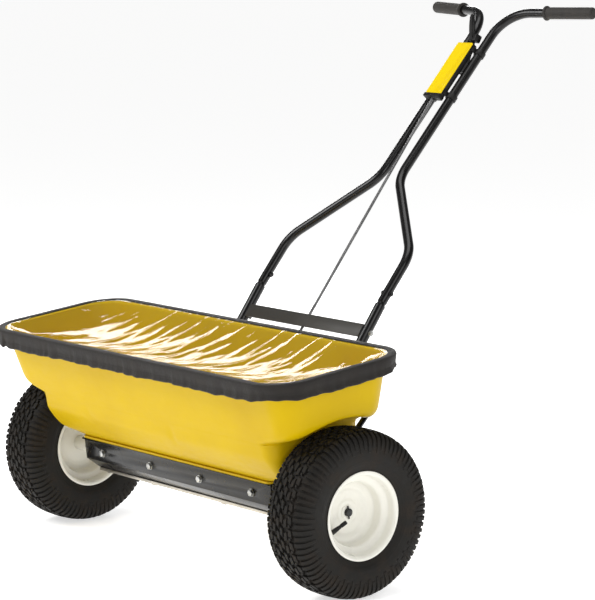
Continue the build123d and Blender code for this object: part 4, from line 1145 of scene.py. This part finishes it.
    def edge_line(self) -> list[tuple[Vector, Vector, float]]:
        """Return points evenly round the lip's edge, each with its outward direction and a share of corner."""
        flat_x, flat_y = self.half_length - self.round, self.half_depth - self.round
        arc = math.pi / 2 * self.round
        runs = (2 * flat_x, arc, 2 * flat_y, arc) * 2
        count = round(sum(runs) / self.spacing)
        line = []
        for k in range(count):
            left, leg = sum(runs) * k / count, 0
            while left > runs[leg]:
                left -= runs[leg]
                leg += 1
            quarter, on_arc = divmod(leg, 2)
            turn = math.pi / 2 * (quarter - 1)
            if on_arc:
                angle = turn + left / self.round
                centre = ((flat_x, -flat_y), (flat_x, flat_y), (-flat_x, flat_y), (-flat_x, -flat_y))[quarter]
                out = Vector((math.cos(angle), math.sin(angle), 0))
                line.append((Vector((*centre, 0)) + out * self.round, out, math.sin(2 * left / self.round)))
            else:
                out = Vector((math.cos(turn), math.sin(turn), 0))
                start = ((-flat_x, -self.half_depth), (self.half_length, -flat_y),
                         (flat_x, self.half_depth), (-self.half_length, flat_y))[quarter]
                line.append((Vector((*start, 0)) + Vector((-out.y, out.x, 0)) * left, out, 0.0))
        return line

    def band_profile(self, run: float, corner: float, spot: Vector) -> list[Pair]:
        """Return the band's closed section (outward, up from the rim) at a place along it."""
        wave = noise.noise(Vector((spot.x * 7, spot.y * 7, 3.3)))
        ripple = noise.noise(Vector((run * 46, 0.5, 1.7)))
        fine = noise.noise(Vector((run * 120, 4.5, 0.2)))
        depth = self.band_height + 0.0036 * wave - self.corner_lift * corner + 0.0022 * ripple
        swell = 0.0012 * wave - 0.0016 * corner + 0.0019 * ripple + 0.0010 * fine
        top = self.band_top
        return [(-0.0135, top - 0.0014), (-0.0120, top - 0.0002 + 0.0004 * fine), (-0.0060, top + 0.0006 * ripple),
                (0.0010, top), (0.0034, top - 0.0016), (0.0044, top - 0.0050), (0.0040 + 0.4 * swell, -0.35 * depth),
                (0.0036 + swell, -0.62 * depth), (0.0042 + 1.3 * swell, -0.78 * depth),
                (0.0058 + 1.5 * swell, -0.87 * depth), (0.0056 + 1.5 * swell, -0.96 * depth),
                (0.0034 + 1.3 * swell, -1.0 * depth), (0.0014 + swell, -0.95 * depth), (0.0014 + swell, -0.80 * depth),
                (0.0014 + 0.5 * swell, -0.4 * depth), (0.0012, -0.0050), (-0.0010, 0.0008), (-0.0125, 0.0006)]

    def build_band(self) -> Piece:
        """Build the gathered elastic band as one closed loop, with its own running coordinates."""
        line = self.edge_line()
        rings = []
        for index, (spot, out, corner) in enumerate(line):
            up = Vector((0, self.hopper.middle_y, self.hopper.rim_height))
            rings.append([spot + up + out * d + Vector((0, 0, h))
                          for d, h in self.band_profile(index * self.spacing, corner, spot)])
        verts, faces = skin(rings, looped=True)
        band = mesh_piece("cover_band_gathered", verts, faces, PARKED, crease=80.0)
        count = len(rings[0])
        layer = band.data.uv_layers.new(name="UVMap")
        for polygon in band.data.polygons:
            rows = [band.data.loops[i].vertex_index // count for i in polygon.loop_indices]
            wraps = max(rows) - min(rows) > 1
            around = [band.data.loops[i].vertex_index % count for i in polygon.loop_indices]
            turns = max(around) - min(around) > 1
            for i, row, step in zip(polygon.loop_indices, rows, around):
                row = row + len(rings) if wraps and row == 0 else row
                step = step + count if turns and step == 0 else step
                layer.data[i].uv = (row * self.spacing, step * 0.0038)
        return dress(band, self.finishes.band, "band_fabric", Body.COVER, "cover_band")

    def build_stitches(self, stitches: Tree) -> Piece:
        """Sew a row of thread round the band above its elastic."""
        spots = []
        for index, (spot, out, corner) in enumerate(self.edge_line()):
            section = self.band_profile(index * self.spacing, corner, spot)
            d, h = section[7]
            up = Vector((0, self.hopper.middle_y, self.hopper.rim_height))
            spots.append(spot + up + out * (d + 0.0001) + Vector((0, 0, h)))
        mesh = bpy.data.meshes.new("stitch_line")
        mesh.from_pydata([tuple(p) for p in spots], [(k, (k + 1) % len(spots)) for k in range(len(spots))], [])
        mesh.transform(PARKED)
        thread = stitches.grow(new_piece("stitch_line", mesh), "band_stitches", self.finishes.thread,
                               Count=430, Thread=0.00035, Stitch=0.0042)
        return dress(thread, self.finishes.thread, "band_fabric", Body.COVER)

    def build(self, stitches: Tree) -> None:
        """Build the cover: its hung sheet, its gathered band and the band's stitches."""
        sheet = self.build_sheet()
        band = self.build_band()
        thread = self.build_stitches(stitches)


# ---------------------------------------------------------------- handle
@dataclass
class Handle:
    """The tube handle: two lower tubes, two upper tubes that meet at a waist, and the rubber grips."""

    finishes: Finishes
    lower_radius: float = 0.011
    upper_radius: float = 0.010
    wall: float = 0.0015
    bend: float = 0.075
    joint_gap: float = 0.006
    lower_length: float = 0.360
    lower_slope: float = math.radians(47.6)
    joint: Vector = field(default_factory=lambda: Vector((0.200, 0.340, 0.309)))
    elbow: Vector = field(default_factory=lambda: Vector((0.200, 0.428, 0.395)))
    waist: Vector = field(default_factory=lambda: Vector((0.030, 0.557, 0.516)))
    corner: Vector = field(default_factory=lambda: Vector((0.030, 0.898, 0.818)))
    tip: Vector = field(default_factory=lambda: Vector((0.2507, 0.945, 0.817)))
    grip_length: float = 0.123
    grip_radius: float = 0.01285

    @staticmethod
    def on_side(point: Vector, side: Side) -> Vector:
        """Return the point on the right or mirrored to the left."""
        return Vector((point.x * side.value, point.y, point.z))

    def build_tubes(self, side: Side) -> None:
        """Build one side's lower and upper tubes."""
        along = Vector((0, math.cos(self.lower_slope), math.sin(self.lower_slope)))
        top = self.joint - along * (self.joint_gap / 2)
        ends = [self.on_side(p, side) for p in (top - along * self.lower_length, top)]
        lower = tube_piece(f"lower_tube_{side.word}", ends, self.lower_radius, self.wall, PARKED)
        dress(lower, self.finishes.frame, "frame_paint", Body.CHASSIS, f"handle_tube_lower_{side.word}")
        start = self.joint + along * (self.joint_gap / 2)
        corners = [self.on_side(p, side) for p in (start, self.elbow, self.waist, self.corner, self.tip)]
        upper = tube_piece(f"upper_tube_{side.word}", bent_path(corners, self.bend), self.upper_radius,
                           self.wall, PARKED)
        dress(upper, self.finishes.frame, "frame_paint", Body.CHASSIS, f"handle_tube_upper_{side.word}")

    def build_grip(self, side: Side) -> None:
        """Build one rubber grip: a rounded end, shallow finger bands and a flange."""
        length, radius = self.grip_length, self.grip_radius
        tip, corner = self.on_side(self.tip, side), self.on_side(self.corner, side)
        inward = (corner - tip).normalized()
        profile = [(0.0, 0.0), (0.0, radius - 0.0055)]
        profile += [(0.0050 * (1 - math.cos(t)), radius - 0.005 + 0.0050 * math.sin(t))
                    for t in (0.3, 0.6, 0.9, 1.2, math.pi / 2)]
        bands = 22
        for k in range(bands + 1):
            at = 0.012 + (length - 0.026) * k / bands
            profile += [(at, radius), (at + 0.0010, radius - 0.0003), (at + 0.0020, radius)]
        profile += [(length - 0.0056, radius), (length - 0.0050, radius + 0.0016), (length - 0.0044, radius + 0.0026),
                    (length - 0.0034, radius + 0.0030), (length - 0.0012, radius + 0.0030),
                    (length - 0.0003, radius + 0.0024), (length, radius + 0.0014),
                    (length, self.upper_radius + 0.0001), (0.004, self.upper_radius + 0.0001), (0.004, 0.0)]
        profile = [(a, r) for a, r in profile]
        verts, faces = skin(lathe(profile, 40))
        turn = Vector((1, 0, 0)).rotation_difference(inward).to_matrix().to_4x4()
        place = PARKED @ Matrix.Translation(tip - inward * 0.0015) @ turn
        grip = mesh_piece(f"grip_{side.word}_ribbed", verts, faces, place, crease=50.0)
        dress(grip, self.finishes.grip, "grip_rubber", Body.CHASSIS, f"grip_{side.word}")

    def build(self) -> None:
        """Build both sides."""
        for side in Side:
            self.build_tubes(side)
            self.build_grip(side)


# ---------------------------------------------------------------- fasteners
@dataclass(frozen=True)
class BoltRow:
    """The bolts of one CAD node: which way their heads face and how thick their shanks are."""

    node: str
    shank: float
    axis: Vector
    mirrored: bool
    head: float = 1.3
    tail: float = 2.2

    def points(self) -> list[tuple[Vector, Vector, float]]:
        """Return each bolt's bearing point, outward axis and grip, as its CAD solid has them."""
        found = []
        for solid in solids_of(self.node):
            middle = (Vector(map(min, *solid)) + Vector(map(max, *solid))) / 2
            axis = self.axis * (-1 if self.mirrored and middle.x < 0 else 1)
            reach = [p.dot(axis) for p in solid]
            top, low = max(reach), min(reach)
            grip = top - low - (self.head + self.tail) * self.shank
            bearing = middle + axis * (top - self.head * self.shank - middle.dot(axis))
            found.append((bearing, axis, grip))
        return found


@dataclass
class Fasteners:
    """Every hexagon bolt, one piece for each CAD node of bolts."""

    finishes: Finishes
    front: Vector = field(default_factory=lambda: PARKED.to_3x3() @ Vector((0, -1, 0)))
    across: Vector = field(default_factory=lambda: Vector((1, 0, 0)))

    def rows(self) -> list[tuple[BoltRow, Material]]:
        """Return the rows of bolts and their finishes."""
        zinc, black = self.finishes.zinc, self.finishes.frame
        return [
            (BoltRow("channel_bolts_front", 0.004, self.front, False), zinc),
            (BoltRow("channel_bolts_rear", 0.004, -self.front, False), zinc),
            (BoltRow("handle_joint_bolts", 0.003, -self.across, True), black),
            (BoltRow("cross_plate_bolts", 0.003, -self.across, True), zinc),
            (BoltRow("handle_bracket_bolts", 0.003, self.across, True), black),
            (BoltRow("stand_bolts", 0.003, self.across, True), zinc),
        ]

    def build(self, bolts: Tree) -> None:
        """Build the bolts row by row."""
        for row, material in self.rows():
            points = row.points()
            mesh = bpy.data.meshes.new(f"{row.node}_seed")
            mesh.from_pydata([tuple(p) for p, _, _ in points], [], [])
            axes = mesh.attributes.new("axis", "FLOAT_VECTOR", "POINT")
            axes.data.foreach_set("vector", [c for _, axis, _ in points for c in axis])
            for label, values in (("shank", [row.shank] * len(points)), ("grip", [g for _, _, g in points])):
                mesh.attributes.new(label, "FLOAT", "POINT").data.foreach_set("value", values)
            piece = bolts.grow(new_piece(mesh.name, mesh), f"{row.node}_hexagon", material)
            piece.data.shade_smooth()
            piece.data.set_sharp_from_angle(angle=math.radians(32))
            slot = "zinc" if material is self.finishes.zinc else "frame_paint"
            dress(piece, material, slot, Body.CHASSIS, row.node)


# ---------------------------------------------------------------- console and lever
@dataclass
class Console:
    """The yellow control console on the handle, with its lever leaf and stop knob."""

    finishes: Finishes
    handle: Handle
    start: float = 0.210
    length: float = 0.140
    half_width: float = 0.024
    top: float = 0.027
    skin: float = 0.002
    corner: float = 0.004
    leaf_foot: Pair = (0.360, 0.010)
    leaf_tip: Pair = (0.403, 0.049)
    leaf_half_width: float = 0.0075

    def __post_init__(self) -> None:
        """Lay out the plane of the two straight tubes: local y up along them, z out of them."""
        run = self.handle.corner - self.handle.waist
        up = Vector((0, run.y, run.z)).normalized()
        out = Vector((0, -up.z, up.y))
        turn = Matrix((Vector((1, 0, 0)), up, out)).transposed().to_4x4()
        self.place = PARKED @ Matrix.Translation((0, self.handle.waist.y, self.handle.waist.z)) @ turn

    def build_lid(self) -> None:
        """Build the moulded lid: rounded edges and a sunk panel inside a raised rim."""
        middle = self.start + self.length / 2
        rows = [(0.0, self.top - self.skin), (0.0, self.top - 0.0008), (-0.0003, self.top - 0.0003),
                (-0.0010, self.top), (-0.0032, self.top), (-0.0038, self.top - 0.0002), (-0.0042, self.top - 0.0007)]
        rings = []
        for grow, height in rows:
            ring = rounded_ring(self.length / 2 + grow, self.half_width + grow, self.corner + 0.5 * grow, (24, 10, 8))
            rings.append([Vector((-y, middle + x, height)) for x, y in ring])
        verts, faces = skin(rings, capped=True)
        lid = mesh_piece("console_lid", verts, faces, self.place, crease=50.0)
        dress(lid, self.finishes.lid, "yellow_cover", Body.CHASSIS, "console_cover")

    def build_leaf(self) -> None:
        """Build the lever's pointed leaf, thick along its middle and thin at its edge."""
        foot, tip = (Vector((0, s, h)) for s, h in (self.leaf_foot, self.leaf_tip))
        along = (tip - foot).normalized()
        across, out = Vector((1, 0, 0)), Vector((1, 0, 0)).cross(along)
        half = (tip - foot).length / 2 + 0.006
        middle = (foot + tip) / 2
        rings = []
        steps = 24
        for step in range(steps + 1):
            t = -1 + 2 * step / steps
            width = self.leaf_half_width * max(1 - t * t, 0.0) ** 0.62 + 0.0004
            thick = 0.0030 * max(1 - t * t, 0.0) ** 0.5 + 0.0004
            ring = []
            for k in range(20):
                turn = 2 * math.pi * k / 20
                ring.append(middle + along * (half * t) + across * (width * math.cos(turn))
                            + out * (thick * math.sin(turn)))
            rings.append(ring)
        verts, faces = skin(rings, capped=True)
        leaf = mesh_piece("lever_leaf", verts, faces, self.place, crease=60.0)
        dress(leaf, self.finishes.nylon, "nylon", Body.LEVER)

    def build(self) -> None:
        """Build the console's own pieces."""
        self.build_lid()
        self.build_leaf()


# ---------------------------------------------------------------- pieces worked from their CAD shape
@dataclass(frozen=True)
class Worked:
    """A CAD node that is shown as a copy with rounded edges."""

    node: str
    finish: str
    slot: str
    body: Body = Body.CHASSIS
    width: float = 0.0006


WORKED = (
    Worked("front_channel", "frame", "frame_paint", width=0.0010),
    Worked("rear_channel", "frame", "frame_paint", width=0.0010),
    Worked("end_plate_left", "frame", "frame_paint"),
    Worked("end_plate_right", "frame", "frame_paint"),
    Worked("floor_plate", "stainless", "stainless", width=0.0004),
    Worked("gate_guides", "stainless", "stainless", width=0.0003),
    Worked("gate_plate", "stainless", "stainless", Body.GATE, 0.0004),
    Worked("cross_plate", "plate", "plate_paint", width=0.0008),
    Worked("rod_guide", "nylon", "nylon"),
    Worked("handle_bracket_left", "frame", "frame_paint"),
    Worked("handle_bracket_right", "frame", "frame_paint"),
    Worked("crank_bracket", "frame", "frame_paint"),
    Worked("gate_crank", "zinc", "zinc", Body.CRANK),
    Worked("control_rod", "rod", "zinc", Body.ROD, 0.0005),
    Worked("lever", "nylon", "nylon", Body.LEVER),
    Worked("console_base", "nylon", "nylon", width=0.0005),
    Worked("console_cap", "nylon", "nylon"),
    Worked("console_clips_lower", "nylon", "nylon", width=0.0004),
    Worked("console_clips_upper", "nylon", "nylon", width=0.0004),
    Worked("stop_knob", "nylon", "nylon", Body.KNOB, 0.0009),
    Worked("stand_feet", "grip", "nylon", width=0.0012),
    Worked("hopper_braces", "frame", "frame_paint", width=0.0006),
    Worked("stand", "frame", "frame_paint", width=0.0004),
    Worked("axle_bearing_left", "nylon", "nylon", width=0.0005),
    Worked("axle_bearing_right", "nylon", "nylon", width=0.0005),
    Worked("axle", "frame", "zinc", Body.DRIVE_AXLE, 0.0004),
    Worked("agitator", "zinc", "zinc", Body.DRIVE_AXLE, 0.0003),
    Worked("hub_right", "rim", "rim_paint", Body.DRIVE_AXLE, 0.0006),
    Worked("hub_left", "rim", "rim_paint", Body.FREE_WHEEL, 0.0006),
    Worked("axle_washers", "rim", "zinc", Body.DRIVE_AXLE, 0.0003),
    Worked("axle_pins", "frame", "zinc", Body.DRIVE_AXLE, 0.0003),
    Worked("wheel_bushes", "nylon", "nylon", Body.FREE_WHEEL, 0.0004),
    Worked("handle_spigots", "frame", "frame_paint", width=0.0004),
    Worked("crank_pin", "zinc", "zinc", width=0.0004),
    Worked("lever_pin", "zinc", "zinc", width=0.0004),
    Worked("gate_pin", "zinc", "zinc", Body.GATE, 0.0004),
    Worked("rod_pins", "zinc", "zinc", Body.ROD, 0.0004),
)


def build_worked(finishes: Finishes) -> None:
    """Build every piece that keeps its CAD shape with rounded edges."""
    for item in WORKED:
        dress(softened(item.node, item.width), getattr(finishes, item.finish), item.slot, item.body, item.node)


# ---------------------------------------------------------------- studio
@dataclass
class Studio:
    """Pale floor, soft lights and the camera."""

    camera_place: tuple[float, float, float] = (4.5714, -3.3626, 1.3032)
    azimuth: float = 51.75
    elevation: float = 7.81
    lens: float = 169.8
    sensor: float = 36.0
    sky: float = 0.38
    sky_gloss: float = 0.12
    low_gloss: float = 0.42
    floor_glow: float = 0.60

    def build_floor(self) -> None:
        """Lay the pale floor."""
        mesh = bpy.data.meshes.new("floor")
        size = 90.0
        mesh.from_pydata([(-size, -size, 0), (size, -size, 0), (size, size, 0), (-size, size, 0)], [], [(0, 1, 2, 3)])
        floor = new_piece("floor", mesh)
        recipe = Recipe("pale_floor", Base_Color=(0.93, 0.93, 0.925, 1), Roughness=0.9, Specular_IOR_Level=0.0,
                        Emission_Color=(1, 1, 1, 1), Emission_Strength=self.floor_glow)
        mesh.materials.append(recipe.material)

    def build_sky(self) -> None:
        """Light the scene evenly, and show plain white behind it."""
        world = bpy.data.worlds.new("studio")
        bpy.context.scene.world = world
        world.use_nodes = True
        nodes, links = world.node_tree.nodes, world.node_tree.links
        path = nodes.new("ShaderNodeLightPath")
        height = nodes.new("ShaderNodeSeparateXYZ")
        links.new(nodes.new("ShaderNodeTexCoord").outputs["Generated"], height.inputs[0])
        wall = nodes.new("ShaderNodeMapRange")
        for target, value in zip(wall.inputs[1:5], (0.05, 0.30, self.low_gloss, self.sky_gloss)):
            target.default_value = value
        links.new(height.outputs["Z"], wall.inputs["Value"])
        strength = wall.outputs[0]
        for seen, value in (("Is Diffuse Ray", self.sky), ("Is Camera Ray", 1.0)):
            mix = nodes.new("ShaderNodeMix")
            links.new(path.outputs[seen], mix.inputs[0])
            links.new(strength, mix.inputs[2])
            mix.inputs[3].default_value = value
            strength = mix.outputs[0]
        links.new(strength, nodes["Background"].inputs["Strength"])
        nodes["Background"].inputs["Color"].default_value = (1, 1, 1, 1)

    def softbox(self, name: str, place: tuple, aim: tuple, size: Pair, power: float) -> None:
        """Hang one soft rectangular light."""
        light = bpy.data.lights.new(name, "AREA")
        light.shape = "RECTANGLE"
        light.size, light.size_y = size
        light.energy = power
        lamp = bpy.data.objects.new(name, light)
        lamp.location = place
        lamp.rotation_euler = (Vector(aim) - Vector(place)).to_track_quat("-Z", "Y").to_euler()
        bpy.context.scene.collection.objects.link(lamp)

    def build_lights(self) -> None:
        """Hang the key, the fill and the light behind."""
        self.softbox("key", (-1.6, -3.0, 3.2), (0, 0, 0.4), (2.4, 1.8), 100)
        self.softbox("fill", (3.6, -0.6, 2.2), (0, 0, 0.4), (1.6, 2.2), 26)
        self.softbox("behind", (-3.4, 2.8, 1.9), (0, 0, 0.5), (2.6, 1.2), 70)
        self.softbox("overhead", (0.2, 0.4, 3.6), (0, 0, 0), (2.4, 2.4), 44)

    def build_camera(self) -> None:
        """Set the camera up."""
        lens = bpy.data.cameras.new("camera")
        lens.sensor_width = self.sensor
        lens.lens = self.lens
        lens.clip_end = 200
        camera = bpy.data.objects.new("camera", lens)
        camera.location = self.camera_place
        camera.rotation_euler = (math.radians(90 - self.elevation), 0, math.radians(self.azimuth))
        bpy.context.scene.collection.objects.link(camera)
        bpy.context.scene.camera = camera

    def build(self) -> None:
        """Build the whole studio."""
        bpy.context.scene.view_settings.view_transform = "Standard"
        self.build_floor()
        self.build_sky()
        self.build_lights()
        self.build_camera()


def main() -> None:
    """Build the studio and every piece of the spreader."""
    logging.basicConfig(level=logging.INFO, format="%(message)s")
    Studio().build()
    finishes = Finishes()
    rings, bolts, stitches = ring_tree(), fastener_tree(), stitch_tree()
    for side in Side:
        Wheel(side, finishes).build(rings)
    hopper = Hopper(finishes)
    hopper.build()
    Cover(hopper, finishes).build(stitches)
    handle = Handle(finishes)
    handle.build()
    Console(finishes, handle).build()
    Fasteners(finishes).build(bolts)
    build_worked(finishes)


if __name__ == "__main__":
    main()
